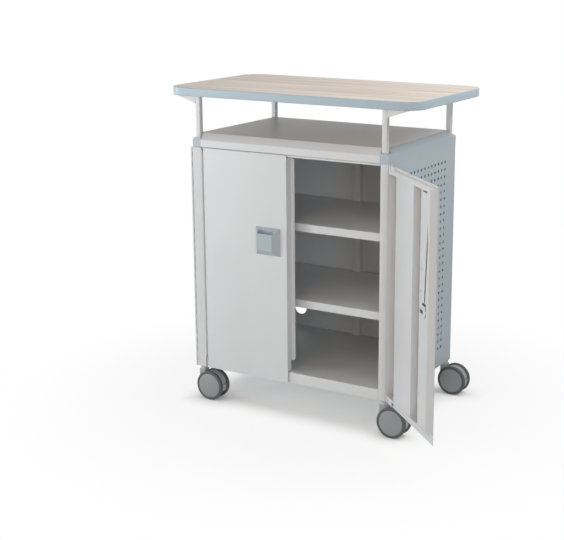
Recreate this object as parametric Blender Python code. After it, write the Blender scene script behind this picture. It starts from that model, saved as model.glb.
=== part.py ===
# Mobile storage cabinet: raised worktop, two hinged doors, two shelves, four twin-wheel casters.
# Metres, +X right, -Y towards the front, +Z up. The origin is on the floor under the cabinet's centre.
import math
import bmesh
import bpy
from mathutils import Vector

# Worktop and overall sizes
HEIGHT = 1.067
TOP_LENGTH = 0.918
TOP_DEPTH = 0.516
TOP_THICK = 0.027
TOP_RADIUS = 0.066
BAND_THICK = 0.003
CABINET_WIDTH = 0.724
CABINET_DEPTH = 0.492
BASE_Z = 0.115
BAY_HEIGHT = 0.120

# Sheet and clearances
SHEET = 0.0015
GAP = 0.0003
RUN = 0.001

# Deck tray, caps, posts and brackets
DECK_DROP = 0.022
DECK_SLOPE = 0.019
DECK_END = 0.021
LIP_HEIGHT = 0.023
CAP_SIZE = 0.030
CAP_DROP = 0.015
CAP_BEVEL = 0.006
FRAME_INSET = 0.005
POST_DEPTH = 0.060
UPPER_SIZE = 0.017
UPPER_INSET_X = 0.018
UPPER_INSET_Y = 0.015
BRACKET_LENGTH = 0.065
BRACKET_ROOT = 0.025
BRACKET_TIP = 0.0035
SIDE_DROP = 0.0205
SIDE_SLOPE = 0.0195

# Rails, floor, back and shelves
DOOR_CLEAR = 0.003
TOP_RAIL_DROP = 0.008
TOP_RAIL_DEPTH = 0.035
RAIL_HEIGHT = 0.035
FLOOR_FLANGE = 0.020
ROD_HOLE = 0.005
ROD_HOLE_FRONT = 0.0035
CABLE_HOLE_R = 0.0245
CABLE_HOLE_IN = 0.118
CABLE_HOLE_UP = 0.065
BACK_POST_HALF = 0.014
BACK_POST_DEPTH = 0.020
SHELF_UPPER = 0.495
SHELF_LOWER = 0.239
SHELF_LIP = 0.026
SHELF_SETBACK = 0.0525
SHELF_BACK_CLEAR = 0.010
SHELF_BACK_LIP = 0.018
SHELF_NOTCH = 0.003
LEDGE_HEIGHT = 0.018
LEDGE_WIDTH = 0.014
LEDGE_LAP = 0.010

# Hinges and doors
RIGHT_DOOR_OPEN = 137.8
KNUCKLES = 13
AXIS_OUT = 0.006
AXIS_T = 0.002
BARREL_R = 0.0040
LEAF_END = 0.004
STILE_START = 0.0045
LEAF_START = 0.0085
GROOVE_CLEAR = 0.004
GROOVE_WIDTH = 0.006
GROOVE_DEPTH = 0.008
LEAF_INSET = 0.002
PAN_T = 0.026
PAN_LIP = 0.0075
HINGE_LIP = 0.003
PAN_LOW = 0.002
PAN_HIGH = 0.003
RECESS = 0.058
LATCH_WIDTH = 0.067
LATCH_EDGE = 0.0018
WINDOW_FAR = 0.063
WINDOW_NEAR = 0.036
WINDOW_HEIGHT = 0.010
WINDOW_DROP = 0.0618
TOP_SLOT_FAR = 0.053
TOP_SLOT_NEAR = 0.022
TOP_SLOT_HEIGHT = 0.006
TOP_SLOT_DROP = 0.0042
SLIT_FOOT_FAR = 0.031
SLIT_FOOT_NEAR = 0.0235
SLIT_HEAD_FAR = 0.0135
SLIT_HEAD_NEAR = 0.009
SLIT_FOOT = 0.0265
SLIT_DROP = 0.0972
LAP_HOLD = 0.020
LAP_REACH = 0.014
LAP_BEVEL = 0.006
LAP_RAISE = 0.035
LAP_DROP = 0.002

# Handles and latch rods
HANDLE_SIZE = 0.091
HANDLE_FLAT = 0.056
HANDLE_DEPTH = 0.023
HANDLE_EDGE = 0.003
HANDLE_IN = 0.0705
HANDLE_UP = 0.436
POCKET_RIM = 0.0035
PADDLE_CLEAR = 0.0005
PADDLE_THICK = 0.006
PADDLE_FOOT = 0.003
PIVOT_BACK = 0.006
PIVOT_UP = 0.0045
PIVOT_R = 0.002
PIVOT_REACH = 0.0045
TAIL_NEAR = 0.0095
TAIL_FAR = 0.0175
TAIL_HALF = 0.003
TAIL_REACH = 0.014
TAIL_THICK = 0.006
TAIL_ROOT = 0.005
TAIL_CLEAR = 0.0015
TAIL_SWING = 0.0115
ROD_IN = 0.010
ROD_T = 0.011
ROD_HALF = 0.0025
ROD_DEPTH = 0.006
ROD_TOP = 0.016
ARM_CLEAR = 0.007
PEG_LAP = 0.010
PEG_HEIGHT = 0.006

# Casters
WHEEL_RADIUS = 0.0508
WHEEL_WIDTH = 0.018
WHEEL_CENTRE = 0.0215
WHEEL_BEVEL = 0.003
WHEEL_RIM = 0.013
AXLE_R = 0.006
CASTER_TRAIL = 0.036
CASTER_IN_X = 0.013
CASTER_IN_Y = 0.011
HOOD_RADIUS = 0.0463
HOOD_UNDER = 0.038
HOOD_TAIL = 0.058
HOOD_BOSS = 0.014
NECK_R = 0.0115
NECK_DROP = 0.003
STEM_R = 0.0055
SOCKET_HALF = 0.010
SOCKET_DEPTH = 0.030
STEM_CLEAR = 0.002
FACETS = 20

# Levels and planes that follow from them
HALF_W = CABINET_WIDTH / 2
HALF_D = CABINET_DEPTH / 2
TOP_UNDER = HEIGHT - TOP_THICK
DECK_Z = TOP_UNDER - BAY_HEIGHT
LIP_TOP = DECK_Z - DECK_DROP
LIP_BOTTOM = LIP_TOP - LIP_HEIGHT
DOOR_TOP = LIP_BOTTOM - DOOR_CLEAR
DOOR_BOTTOM = BASE_Z - RUN
FLOOR_Z = BASE_Z + RAIL_HEIGHT
RAIL_UNDER = LIP_BOTTOM - TOP_RAIL_DROP
CAP_BOTTOM = DOOR_TOP + RUN
CAP_TOP = DECK_Z - CAP_DROP
FRAME_Y = HALF_D - FRAME_INSET
INNER_W = HALF_W - SHEET - GAP
POST_IN = HALF_W - CAP_SIZE
POST_BACK = FRAME_Y - POST_DEPTH
UPPER_X = HALF_W - UPPER_INSET_X
UPPER_Y = HALF_D - UPPER_INSET_Y
AXIS_X = HALF_W + AXIS_OUT
AXIS_Y = -HALF_D + AXIS_T
LINED = SHEET + GAP
DOOR_WIDTH = AXIS_X - RUN
GROOVE_U = AXIS_X - POST_IN + GROOVE_CLEAR
PAN_U = GROOVE_U + GROOVE_WIDTH + LINED
PAN_Z0 = FLOOR_Z + PAN_LOW
PAN_Z1 = RAIL_UNDER - PAN_HIGH
WEB_T = PAN_T - LINED
LATCH_U = DOOR_WIDTH - LATCH_WIDTH
HANDLE_U = DOOR_WIDTH - HANDLE_IN
HANDLE_Z = FLOOR_Z + HANDLE_UP
PADDLE_T = -HANDLE_DEPTH + PIVOT_BACK
PADDLE_Z = HANDLE_Z - HANDLE_FLAT / 2 + PIVOT_UP
TAIL = (HANDLE_U + TAIL_NEAR, HANDLE_U + TAIL_FAR)
ROD_U = DOOR_WIDTH - ROD_IN
CASTER_X = HALF_W - CASTER_IN_X
CASTER_Y = FRAME_Y - CASTER_IN_Y
NECK_Z = 2 * WHEEL_RADIUS - NECK_DROP


# Scene and materials
for old in list(bpy.data.objects):
    bpy.data.objects.remove(old, do_unlink=True)

COLOURS = {
    "laminate": (0.62, 0.54, 0.47, 0.4),
    "edge_blue": (0.39, 0.48, 0.54, 0.5),
    "paint_blue": (0.37, 0.42, 0.46, 0.5),
    "paint_grey": (0.70, 0.72, 0.74, 0.45),
    "steel": (0.55, 0.56, 0.57, 0.35),
    "handle_blue": (0.39, 0.44, 0.48, 0.5),
    "caster_grey": (0.27, 0.28, 0.28, 0.5),
    "wheel_grey": (0.07, 0.08, 0.08, 0.6),
}
MATERIALS = {}
for slot, (red, green, blue, rough) in COLOURS.items():
    material = bpy.data.materials.new(slot)
    material.use_nodes = True
    shader = material.node_tree.nodes["Principled BSDF"]
    shader.inputs["Base Color"].default_value = (red, green, blue, 1.0)
    shader.inputs["Roughness"].default_value = rough
    MATERIALS[slot] = material


# Shape helpers
def place(axis, a, b, along):
    """Point with plane coordinates a, b and a coordinate along the axis."""
    if axis == "x":
        return Vector((along, a, b))
    if axis == "y":
        return Vector((a, along, b))
    return Vector((a, b, along))


def add_prism(bm, points, axis, low, high):
    """Closed prism over a polygon."""
    ends = [[bm.verts.new(place(axis, a, b, level)) for a, b in points] for level in (low, high)]
    count = len(points)
    bm.faces.new(ends[0])
    bm.faces.new(ends[1])
    for i in range(count):
        j = (i + 1) % count
        bm.faces.new((ends[0][i], ends[0][j], ends[1][j], ends[1][i]))


def add_box(bm, x, y, z):
    """Box between pairs of limits."""
    corners = [(x[0], y[0]), (x[1], y[0]), (x[1], y[1]), (x[0], y[1])]
    add_prism(bm, corners, "z", z[0], z[1])


def add_rings(bm, loops, closed=True):
    """Skin over a run of equal loops; a closed run joins its last loop to its first."""
    rings = [[bm.verts.new(point) for point in loop] for loop in loops]
    count = len(rings[0])
    for k in range(len(rings) if closed else len(rings) - 1):
        this, after = rings[k], rings[(k + 1) % len(rings)]
        for i in range(count):
            j = (i + 1) % count
            bm.faces.new((this[i], this[j], after[j], after[i]))
    return rings


def add_tube(bm, x, y, z, wall):
    """Rectangular tube, open at both ends."""
    def loop(inset, level):
        return [(x[0] + inset, y[0] + inset, level), (x[1] - inset, y[0] + inset, level),
                (x[1] - inset, y[1] - inset, level), (x[0] + inset, y[1] - inset, level)]
    add_rings(bm, [loop(0, z[0]), loop(0, z[1]), loop(wall, z[1]), loop(wall, z[0])])


def offset_path(points, distance):
    """Path moved to its left by a distance, with mitred corners."""
    moved = []
    for i, point in enumerate(points):
        here = Vector(point)
        sides = []
        if i > 0:
            sides.append((here - Vector(points[i - 1])).normalized())
        if i + 1 < len(points):
            sides.append((Vector(points[i + 1]) - here).normalized())
        normals = [Vector((-side.y, side.x)) for side in sides]
        total = sum(normals, Vector((0.0, 0.0)))
        moved.append(here + total * (distance * len(normals) / total.length_squared))
    return moved


def add_sheet(bm, path, thick, axis, stations, keep=None):
    """Folded sheet: a path run along an axis, with cells left out where keep says no."""
    faces = (path, offset_path(path, thick))
    rows, columns = len(path) - 1, len(stations) - 1
    verts = {}

    def vert(side, i, j):
        key = (side, i, j)
        if key not in verts:
            a, b = faces[side][i]
            verts[key] = bm.verts.new(place(axis, a, b, stations[j]))
        return verts[key]

    def filled(i, j):
        return 0 <= i < rows and 0 <= j < columns and (keep is None or keep(i, j))

    for i in range(rows):
        for j in range(columns):
            if not filled(i, j):
                continue
            for side in (0, 1):
                bm.faces.new([vert(side, i, j), vert(side, i + 1, j),
                              vert(side, i + 1, j + 1), vert(side, i, j + 1)])
            edges = (((i - 1, j), (i, j), (i, j + 1)), ((i + 1, j), (i + 1, j), (i + 1, j + 1)),
                     ((i, j - 1), (i, j), (i + 1, j)), ((i, j + 1), (i, j + 1), (i + 1, j + 1)))
            for beyond, start, end in edges:
                if not filled(*beyond):
                    bm.faces.new([vert(0, *start), vert(0, *end), vert(1, *end), vert(1, *start)])


def circle(radius, count, turn=0.0):
    """Points round a circle."""
    return [(radius * math.cos(turn + 2 * math.pi * k / count),
             radius * math.sin(turn + 2 * math.pi * k / count)) for k in range(count)]


def arc(centre, radius, start, end, steps):
    """Points along an arc, in degrees."""
    turns = [math.radians(start + (end - start) * k / steps) for k in range(steps + 1)]
    return [(centre[0] + radius * math.cos(turn), centre[1] + radius * math.sin(turn)) for turn in turns]


def add_cylinder(bm, centre, radius, axis, low, high, count=16):
    """Closed cylinder along an axis."""
    points = [(centre[0] + a, centre[1] + b) for a, b in circle(radius, count, math.pi / count)]
    add_prism(bm, points, axis, low, high)


def rounded(half_x, half_y, radius, steps=8):
    """Rectangle with rounded corners."""
    points = []
    for quarter, (sx, sy) in enumerate(((1, 1), (-1, 1), (-1, -1), (1, -1))):
        centre = (sx * (half_x - radius), sy * (half_y - radius))
        points += arc(centre, radius, 90 * quarter, 90 * quarter + 90, steps)
    return points


def make(name, bm, slot, parent=None, origin=(0.0, 0.0, 0.0)):
    """Object from a mesh given in its parent's frame, with its own origin."""
    bmesh.ops.translate(bm, verts=bm.verts, vec=-Vector(origin))
    bmesh.ops.recalc_face_normals(bm, faces=bm.faces)
    mesh = bpy.data.meshes.new(name)
    bm.to_mesh(mesh)
    bm.free()
    thing = bpy.data.objects.new(name, mesh)
    thing.data.materials.append(MATERIALS[slot])
    thing.location = origin
    thing.parent = parent
    bpy.context.scene.collection.objects.link(thing)
    return thing


def combine(thing, bm, operation):
    """Join a second mesh, given in the same frame, to an object or cut it away."""
    tool = make("tool", bm, thing.data.materials[0].name, thing.parent, thing.location)
    bool_mod = thing.modifiers.new("combine", "BOOLEAN")
    bool_mod.operation = operation
    bool_mod.solver = "EXACT"
    bool_mod.object = tool
    graph = bpy.context.evaluated_depsgraph_get()
    result = bpy.data.meshes.new_from_object(thing.evaluated_get(graph))
    thing.modifiers.clear()
    before = thing.data
    thing.data = result
    bpy.data.meshes.remove(before)
    result.name = thing.name
    bpy.data.objects.remove(tool, do_unlink=True)


def span(low, high, sign):
    """Limits mirrored by a sign."""
    return (low, high) if sign > 0 else (-high, -low)


SIDES = {"left": -1, "right": 1}
ENDS = {"front": -1, "back": 1}
CORNERS = [(end + "_" + side, SIDES[side], ENDS[end]) for end in ENDS for side in SIDES]


# Worktop and its edge band
bm = bmesh.new()
inset = BAND_THICK + GAP
plan = rounded(TOP_LENGTH / 2 - inset, TOP_DEPTH / 2 - inset, TOP_RADIUS - inset)
add_prism(bm, plan, "z", TOP_UNDER, HEIGHT)
make("worktop_panel", bm, "laminate")

bm = bmesh.new()
outer = rounded(TOP_LENGTH / 2, TOP_DEPTH / 2, TOP_RADIUS)
inner = rounded(TOP_LENGTH / 2 - BAND_THICK, TOP_DEPTH / 2 - BAND_THICK, TOP_RADIUS - BAND_THICK)
add_rings(bm, [[(a, b, z) for a, b in loop] for loop, z in
               ((outer, TOP_UNDER), (outer, HEIGHT), (inner, HEIGHT), (inner, TOP_UNDER))])
make("worktop_edge_band", bm, "edge_blue")


# Upper posts, worktop brackets, corner caps and corner posts with their caster sockets
half_post = UPPER_SIZE / 2
bite = SHEET / 3
for corner, sx, sy in CORNERS:
    post_x = span(UPPER_X - half_post, UPPER_X + half_post, sx)
    post_y = span(UPPER_Y - half_post, UPPER_Y + half_post, sy)
    bm = bmesh.new()
    add_tube(bm, post_x, post_y, (CAP_TOP + GAP, TOP_UNDER - GAP), SHEET)
    make("upper_post_" + corner, bm, "paint_grey")

    bm = bmesh.new()
    root = UPPER_X + half_post + GAP
    tip = root + BRACKET_LENGTH
    wedge = [(root, TOP_UNDER - GAP), (tip, TOP_UNDER - GAP),
             (tip, TOP_UNDER - BRACKET_TIP), (root, TOP_UNDER - BRACKET_ROOT)]
    add_prism(bm, [(sx * a, b) for a, b in wedge], "y", *post_y)
    make("top_bracket_" + corner, bm, "paint_grey")

    bm = bmesh.new()
    block = [(POST_IN, CAP_BOTTOM), (HALF_W, CAP_BOTTOM), (HALF_W, CAP_TOP - CAP_BEVEL),
             (HALF_W - CAP_BEVEL, CAP_TOP), (POST_IN, CAP_TOP)]
    add_prism(bm, [(sx * a, b) for a, b in block], "y", *span(HALF_D - CAP_SIZE, HALF_D, sy))
    make("corner_cap_" + corner, bm, "paint_blue")

    bm = bmesh.new()
    add_tube(bm, span(POST_IN, INNER_W, sx), span(POST_BACK, FRAME_Y, sy), (BASE_Z, CAP_BOTTOM - GAP), SHEET)
    post = make("corner_post_" + corner, bm, "paint_grey")
    bm = bmesh.new()
    add_box(bm, span(POST_IN + bite, INNER_W - bite, sx),
            span(CASTER_Y - SOCKET_HALF, CASTER_Y + SOCKET_HALF, sy), (BASE_Z + bite, BASE_Z + SOCKET_DEPTH))
    combine(post, bm, "UNION")
    bm = bmesh.new()
    add_cylinder(bm, (sx * CASTER_X, sy * CASTER_Y), STEM_R + GAP, "z",
                 BASE_Z - SOCKET_DEPTH, BASE_Z + 2 * SOCKET_DEPTH, 12)
    combine(post, bm, "DIFFERENCE")


# Deck tray, cut back at its corners for the caps
cap_edge = HALF_D - CAP_SIZE - GAP
slope = HALF_D - DECK_SLOPE
deck = [(HALF_D, LIP_BOTTOM), (HALF_D, LIP_TOP), (slope, DECK_Z), (cap_edge, DECK_Z), (-cap_edge, DECK_Z),
        (-slope, DECK_Z), (-HALF_D, LIP_TOP), (-HALF_D, LIP_BOTTOM)]
deck_x = [-HALF_W + DECK_END, -POST_IN + GAP, POST_IN - GAP, HALF_W - DECK_END]
bm = bmesh.new()
add_sheet(bm, deck, SHEET, "x", deck_x, lambda i, j: j == 1 or i == 3)
make("deck_panel", bm, "paint_grey")


# Rail above the doors
rail_z = LIP_BOTTOM - RUN
rail = [(-FRAME_Y, RAIL_UNDER), (-FRAME_Y, rail_z), (-FRAME_Y + TOP_RAIL_DEPTH, rail_z)]
bm = bmesh.new()
add_sheet(bm, rail, -SHEET, "x", [-POST_IN + GAP, POST_IN - GAP])
make("top_rail", bm, "paint_grey")


# Side panels with a sloped top edge
side_y = [-cap_edge, cap_edge, HALF_D - RUN]
for side, sx in SIDES.items():
    path = [(HALF_W, BASE_Z), (HALF_W, CAP_BOTTOM - GAP), (HALF_W, DECK_Z - SIDE_DROP),
            (HALF_W - SIDE_SLOPE, DECK_Z - SHEET)]
    bm = bmesh.new()
    add_sheet(bm, [(sx * a, b) for a, b in path], sx * SHEET, "y", side_y, lambda i, j: j == 0 or i == 0)
    make("side_panel_" + side, bm, "paint_blue")


# Floor with its front rail and the holes for the latch rods
rod_x = AXIS_X - ROD_U
rod_y = -HALF_D + ROD_T
floor_front = -FRAME_Y + bite
floor = [(floor_front, BASE_Z), (floor_front, FLOOR_Z), (rod_y - ROD_HOLE_FRONT, FLOOR_Z),
         (rod_y + ROD_HOLE, FLOOR_Z), (-POST_BACK + GAP, FLOOR_Z), (POST_BACK - GAP, FLOOR_Z),
         (FRAME_Y - GAP, FLOOR_Z), (FRAME_Y - GAP, FLOOR_Z - FLOOR_FLANGE)]
floor_x = [-INNER_W, -POST_IN + GAP, -rod_x - ROD_HOLE, -rod_x + ROD_HOLE, rod_x - ROD_HOLE,
           rod_x + ROD_HOLE, POST_IN - GAP, INNER_W]


def floor_cell(i, j):
    """Full width only between the posts, and open at the rod holes."""
    if j in (0, 6):
        return i == 4
    return not (i == 2 and j in (2, 4))


bm = bmesh.new()
add_sheet(bm, floor, -SHEET, "x", floor_x, floor_cell)
make("bottom_panel", bm, "paint_grey")


# Back panel with its cable hole, and the centre post
back_y = FRAME_Y + GAP
bm = bmesh.new()
add_box(bm, (-INNER_W, INNER_W), (back_y, back_y + SHEET), (BASE_Z, CAP_BOTTOM - GAP))
back = make("back_panel", bm, "paint_grey")
bm = bmesh.new()
add_cylinder(bm, (-HALF_W + CABLE_HOLE_IN, FLOOR_Z + CABLE_HOLE_UP), CABLE_HOLE_R, "y",
             back_y - SHEET, back_y + 2 * SHEET, 24)
combine(back, bm, "DIFFERENCE")

channel_y = FRAME_Y - BACK_POST_DEPTH
channel = [(-BACK_POST_HALF, FRAME_Y), (-BACK_POST_HALF, channel_y),
           (BACK_POST_HALF, channel_y), (BACK_POST_HALF, FRAME_Y)]
bm = bmesh.new()
add_sheet(bm, channel, SHEET, "z", [FLOOR_Z + GAP, DOOR_TOP])
make("back_post", bm, "paint_grey")


# Shelves on side rails
shelf_front = -HALF_D + SHELF_SETBACK
shelf_back = FRAME_Y - SHELF_BACK_CLEAR
notch_x = BACK_POST_HALF + SHELF_NOTCH
notch_y = channel_y - SHELF_NOTCH
shelf_x = [-POST_IN + RUN, -notch_x, notch_x, POST_IN - RUN]
ledge_y = [-POST_BACK - LEDGE_LAP, POST_BACK + LEDGE_LAP]
ledge_x = POST_IN - GAP
for level, above in (("upper", SHELF_UPPER), ("lower", SHELF_LOWER)):
    top = FLOOR_Z + above
    path = [(shelf_front, top - SHELF_LIP), (shelf_front, top), (notch_y, top),
            (shelf_back, top), (shelf_back, top - SHELF_BACK_LIP)]
    bm = bmesh.new()
    add_sheet(bm, path, -SHEET, "x", shelf_x, lambda i, j: j != 1 or i < 2)
    make("shelf_" + level, bm, "paint_grey")
    under = top - LINED
    ledge = [(ledge_x, under - LEDGE_HEIGHT), (ledge_x, under), (ledge_x - LEDGE_WIDTH, under)]
    for side, sx in SIDES.items():
        bm = bmesh.new()
        add_sheet(bm, [(sx * a, b) for a, b in ledge], sx * SHEET, "y", ledge_y)
        make("shelf_rail_" + level + "_" + side, bm, "paint_grey")


# Hinges: rolled knuckles that alternate between the fixed and the moving leaf
hinge_z = []
pitch = (DOOR_TOP - DOOR_BOTTOM) / KNUCKLES
for k in range(KNUCKLES):
    hinge_z += [DOOR_BOTTOM + k * pitch + GAP / 2, DOOR_BOTTOM + (k + 1) * pitch - GAP / 2]


def knuckle_cells(odd):
    """The leaf runs the whole height; its roll is kept on every other knuckle."""
    return lambda i, j: i == 0 or (j % 4 == (2 if odd else 0))


DOORS = {}
leaf_x = HALF_W - SHEET - AXIS_X
fixed = [(leaf_x, -HALF_D + CAP_SIZE - AXIS_Y), (leaf_x, LEAF_END)] + arc((0, 0), BARREL_R, 165, 475, 10)
moving = [(GROOVE_U - LEAF_INSET, LINED), (LEAF_START, LINED)] + arc((0, 0), BARREL_R, 15, 325, 10)
for side, sx in SIDES.items():
    door = bpy.data.objects.new(side + "_door_axis", None)
    door.location = (sx * AXIS_X, AXIS_Y, 0.0)
    door.rotation_euler = (0.0, 0.0, math.radians(RIGHT_DOOR_OPEN) if side == "right" else 0.0)
    bpy.context.scene.collection.objects.link(door)
    DOORS[side] = door

    bm = bmesh.new()
    path = [(sx * (AXIS_X + a), AXIS_Y + b) for a, b in fixed]
    add_sheet(bm, path, sx * SHEET, "z", hinge_z, knuckle_cells(False))
    make(side + "_hinge_fixed_leaf", bm, "paint_grey")

    bm = bmesh.new()
    add_cylinder(bm, (sx * AXIS_X, AXIS_Y), BARREL_R - LINED, "z", DOOR_BOTTOM, DOOR_TOP, 12)
    make(side + "_hinge_pin", bm, "steel")

    bm = bmesh.new()
    add_sheet(bm, [(-sx * a, b) for a, b in moving], -sx * SHEET, "z", hinge_z, knuckle_cells(True))
    make(side + "_door_hinge_leaf", bm, "paint_grey", door)


# Doors, drawn closed along u from the hinge and t back from the front skin
def door_box(bm, sign, u, t, z):
    """Box in door coordinates."""
    add_box(bm, span(u[0], u[1], sign), (t[0] - AXIS_T, t[1] - AXIS_T), z)


def door_path(points, sign):
    """Path in door coordinates."""
    return [(sign * u, t - AXIS_T) for u, t in points]


inner_z = (PAN_Z0 + LINED, PAN_Z1 - LINED)
tail_z = (PADDLE_Z - TAIL_HALF, PADDLE_Z + TAIL_HALF)
slot_z = (tail_z[0] - RUN, PADDLE_Z + TAIL_SWING)
slit_z = (PADDLE_Z - SLIT_FOOT, inner_z[1] - SLIT_DROP)
window_z = (PADDLE_Z - WINDOW_DROP, PADDLE_Z - WINDOW_DROP + WINDOW_HEIGHT)
top_slot_z = (inner_z[1] - TOP_SLOT_DROP - TOP_SLOT_HEIGHT, inner_z[1] - TOP_SLOT_DROP)
latch_steps = (LATCH_WIDTH, WINDOW_FAR, TOP_SLOT_FAR, WINDOW_NEAR, TOP_SLOT_NEAR, LATCH_EDGE)
latch_u = [DOOR_WIDTH - back for back in latch_steps]
latch_z = [inner_z[0], *window_z, *top_slot_z, inner_z[1]]
latch_holes = {(2, 1), (3, 1), (3, 3), (4, 3)}
slit = [(DOOR_WIDTH - back, z) for back, z in ((SLIT_FOOT_FAR, slit_z[0]), (SLIT_FOOT_NEAR, slit_z[0]),
                                               (SLIT_HEAD_NEAR, slit_z[1]), (SLIT_HEAD_FAR, slit_z[1]))]
groove_end = GROOVE_U + GROOVE_WIDTH
half, flat = HANDLE_SIZE / 2, HANDLE_FLAT / 2
arm_u = ROD_U - ARM_CLEAR
arm_t = (TAIL_REACH - TAIL_THICK, TAIL_REACH)
bore = ROD_HALF + GAP

for side, sx in SIDES.items():
    door, s = DOORS[side], -sx

    # Skin with hinge stile and groove, and a slot for the paddle's tail
    skin = [(STILE_START, 0.0), (GROOVE_U, 0.0), (GROOVE_U, GROOVE_DEPTH), (groove_end, GROOVE_DEPTH),
            (groove_end, 0.0), (TAIL[0] - TAIL_CLEAR, 0.0), (TAIL[1] + TAIL_CLEAR, 0.0), (DOOR_WIDTH, 0.0)]
    skin_z = [DOOR_BOTTOM, PAN_Z0, slot_z[0], slot_z[1], PAN_Z1, DOOR_TOP]
    bm = bmesh.new()
    add_sheet(bm, door_path(skin, s), s * SHEET, "z", skin_z,
              lambda i, j: not (i in (1, 2, 3) and j in (0, 4)) and not (i == 5 and j == 2))
    make(side + "_door_skin", bm, "paint_grey", door)

    # Pan: a rim round the door with an inward lip, bored for the rod
    section = [(0.0, LINED), (0.0, PAN_T), (PAN_LIP, PAN_T), (PAN_LIP, PAN_T - SHEET),
               (SHEET, PAN_T - SHEET), (SHEET, LINED)]
    loops = []
    for inset, t in section:
        low_u, high_u = s * (PAN_U + min(inset, HINGE_LIP)), s * (DOOR_WIDTH - inset)
        loops.append([(low_u, t - AXIS_T, PAN_Z0 + inset), (high_u, t - AXIS_T, PAN_Z0 + inset),
                      (high_u, t - AXIS_T, PAN_Z1 - inset), (low_u, t - AXIS_T, PAN_Z1 - inset)])
    bm = bmesh.new()
    add_rings(bm, loops)
    pan = make(side + "_door_pan", bm, "paint_grey", door)
    bm = bmesh.new()
    door_box(bm, s, (ROD_U - bore, ROD_U + bore), (ROD_T - bore, ROD_T + bore),
             (PAN_Z0 - SHEET, PAN_Z0 + 2 * SHEET))
    combine(pan, bm, "DIFFERENCE")

    # Stiffener and latch channel behind the skin
    hat_u = (PAN_U + RECESS, LATCH_U - RECESS)
    hat = [(hat_u[0], LINED), (hat_u[0], WEB_T), (hat_u[1], WEB_T), (hat_u[1], LINED)]
    bm = bmesh.new()
    add_sheet(bm, door_path(hat, s), -s * SHEET, "z", list(inner_z))
    make(side + "_door_stiffener", bm, "paint_grey", door)

    latch = [(latch_u[0], LINED)] + [(u, WEB_T) for u in latch_u] + [(latch_u[-1], LINED)]
    bm = bmesh.new()
    add_sheet(bm, door_path(latch, s), -s * SHEET, "z", latch_z, lambda i, j: (i, j) not in latch_holes)
    channel = make(side + "_door_latch_channel", bm, "paint_grey", door)
    bm = bmesh.new()
    add_prism(bm, [(s * u, z) for u, z in slit], "y", WEB_T - 2 * SHEET - AXIS_T, PAN_T - AXIS_T)
    combine(channel, bm, "DIFFERENCE")

    # Handle: bevelled bezel with a window, and the paddle that tips out of it
    loops = []
    for reach, t in ((half, -GAP), (half, -HANDLE_EDGE), (flat, -HANDLE_DEPTH)):
        loops.append([(s * HANDLE_U + a * reach, t - AXIS_T, HANDLE_Z + b * reach)
                      for a, b in ((-1, -1), (1, -1), (1, 1), (-1, 1))])
    bm = bmesh.new()
    rings = add_rings(bm, loops, closed=False)
    bm.faces.new(rings[0])
    bm.faces.new(rings[-1])
    bezel = make(side + "_handle_bezel", bm, "handle_blue", door)
    bm = bmesh.new()
    window_half = flat + PADDLE_CLEAR
    door_box(bm, s, (HANDLE_U - window_half, HANDLE_U + window_half), (-2 * HANDLE_DEPTH, HANDLE_DEPTH),
             (HANDLE_Z - flat + PADDLE_CLEAR, HANDLE_Z + half - POCKET_RIM))
    combine(bezel, bm, "DIFFERENCE")
    pivot = (PADDLE_T - AXIS_T, PADDLE_Z)
    pin_u = span(HANDLE_U - flat - PIVOT_REACH, HANDLE_U + flat + PIVOT_REACH, s)
    bm = bmesh.new()
    add_cylinder(bm, pivot, PIVOT_R + GAP, "x", pin_u[0] - GAP, pin_u[1] + GAP, 12)
    combine(bezel, bm, "DIFFERENCE")

    axis = (s * HANDLE_U, PADDLE_T - AXIS_T, PADDLE_Z)
    bm = bmesh.new()
    door_box(bm, s, (HANDLE_U - flat + GAP, HANDLE_U + flat - GAP),
             (-HANDLE_DEPTH, -HANDLE_DEPTH + PADDLE_THICK), (HANDLE_Z - flat + PADDLE_FOOT, HANDLE_Z + flat))
    paddle = make(side + "_handle_paddle", bm, "handle_blue", door, axis)
    bm = bmesh.new()
    add_cylinder(bm, pivot, PIVOT_R, "x", *pin_u, 12)
    combine(paddle, bm, "UNION")
    tail_t = -HANDLE_DEPTH + TAIL_ROOT
    tail = [(TAIL[0], tail_t), (TAIL[1], tail_t), (TAIL[1], arm_t[0]),
            (arm_u, arm_t[0]), (arm_u, arm_t[1]), (TAIL[0], arm_t[1])]
    bm = bmesh.new()
    add_prism(bm, door_path(tail, s), "z", *tail_z)
    combine(paddle, bm, "UNION")

    # Latch rod with the peg that the paddle's tail lifts
    rod_z = (FLOOR_Z - ROD_DEPTH, inner_z[1] - ROD_TOP)
    rod_t = (ROD_T - ROD_HALF, ROD_T + ROD_HALF)
    peg_z = tail_z[1] + GAP
    bm = bmesh.new()
    door_box(bm, s, (ROD_U - ROD_HALF, ROD_U + ROD_HALF), rod_t, rod_z)
    rod = make(side + "_latch_rod", bm, "steel", door, (s * ROD_U, ROD_T - AXIS_T, PADDLE_Z))
    bm = bmesh.new()
    door_box(bm, s, (arm_u - PEG_LAP, ROD_U - RUN), (rod_t[0] + bite, rod_t[1] - bite),
             (peg_z, peg_z + PEG_HEIGHT))
    combine(rod, bm, "UNION")


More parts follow.
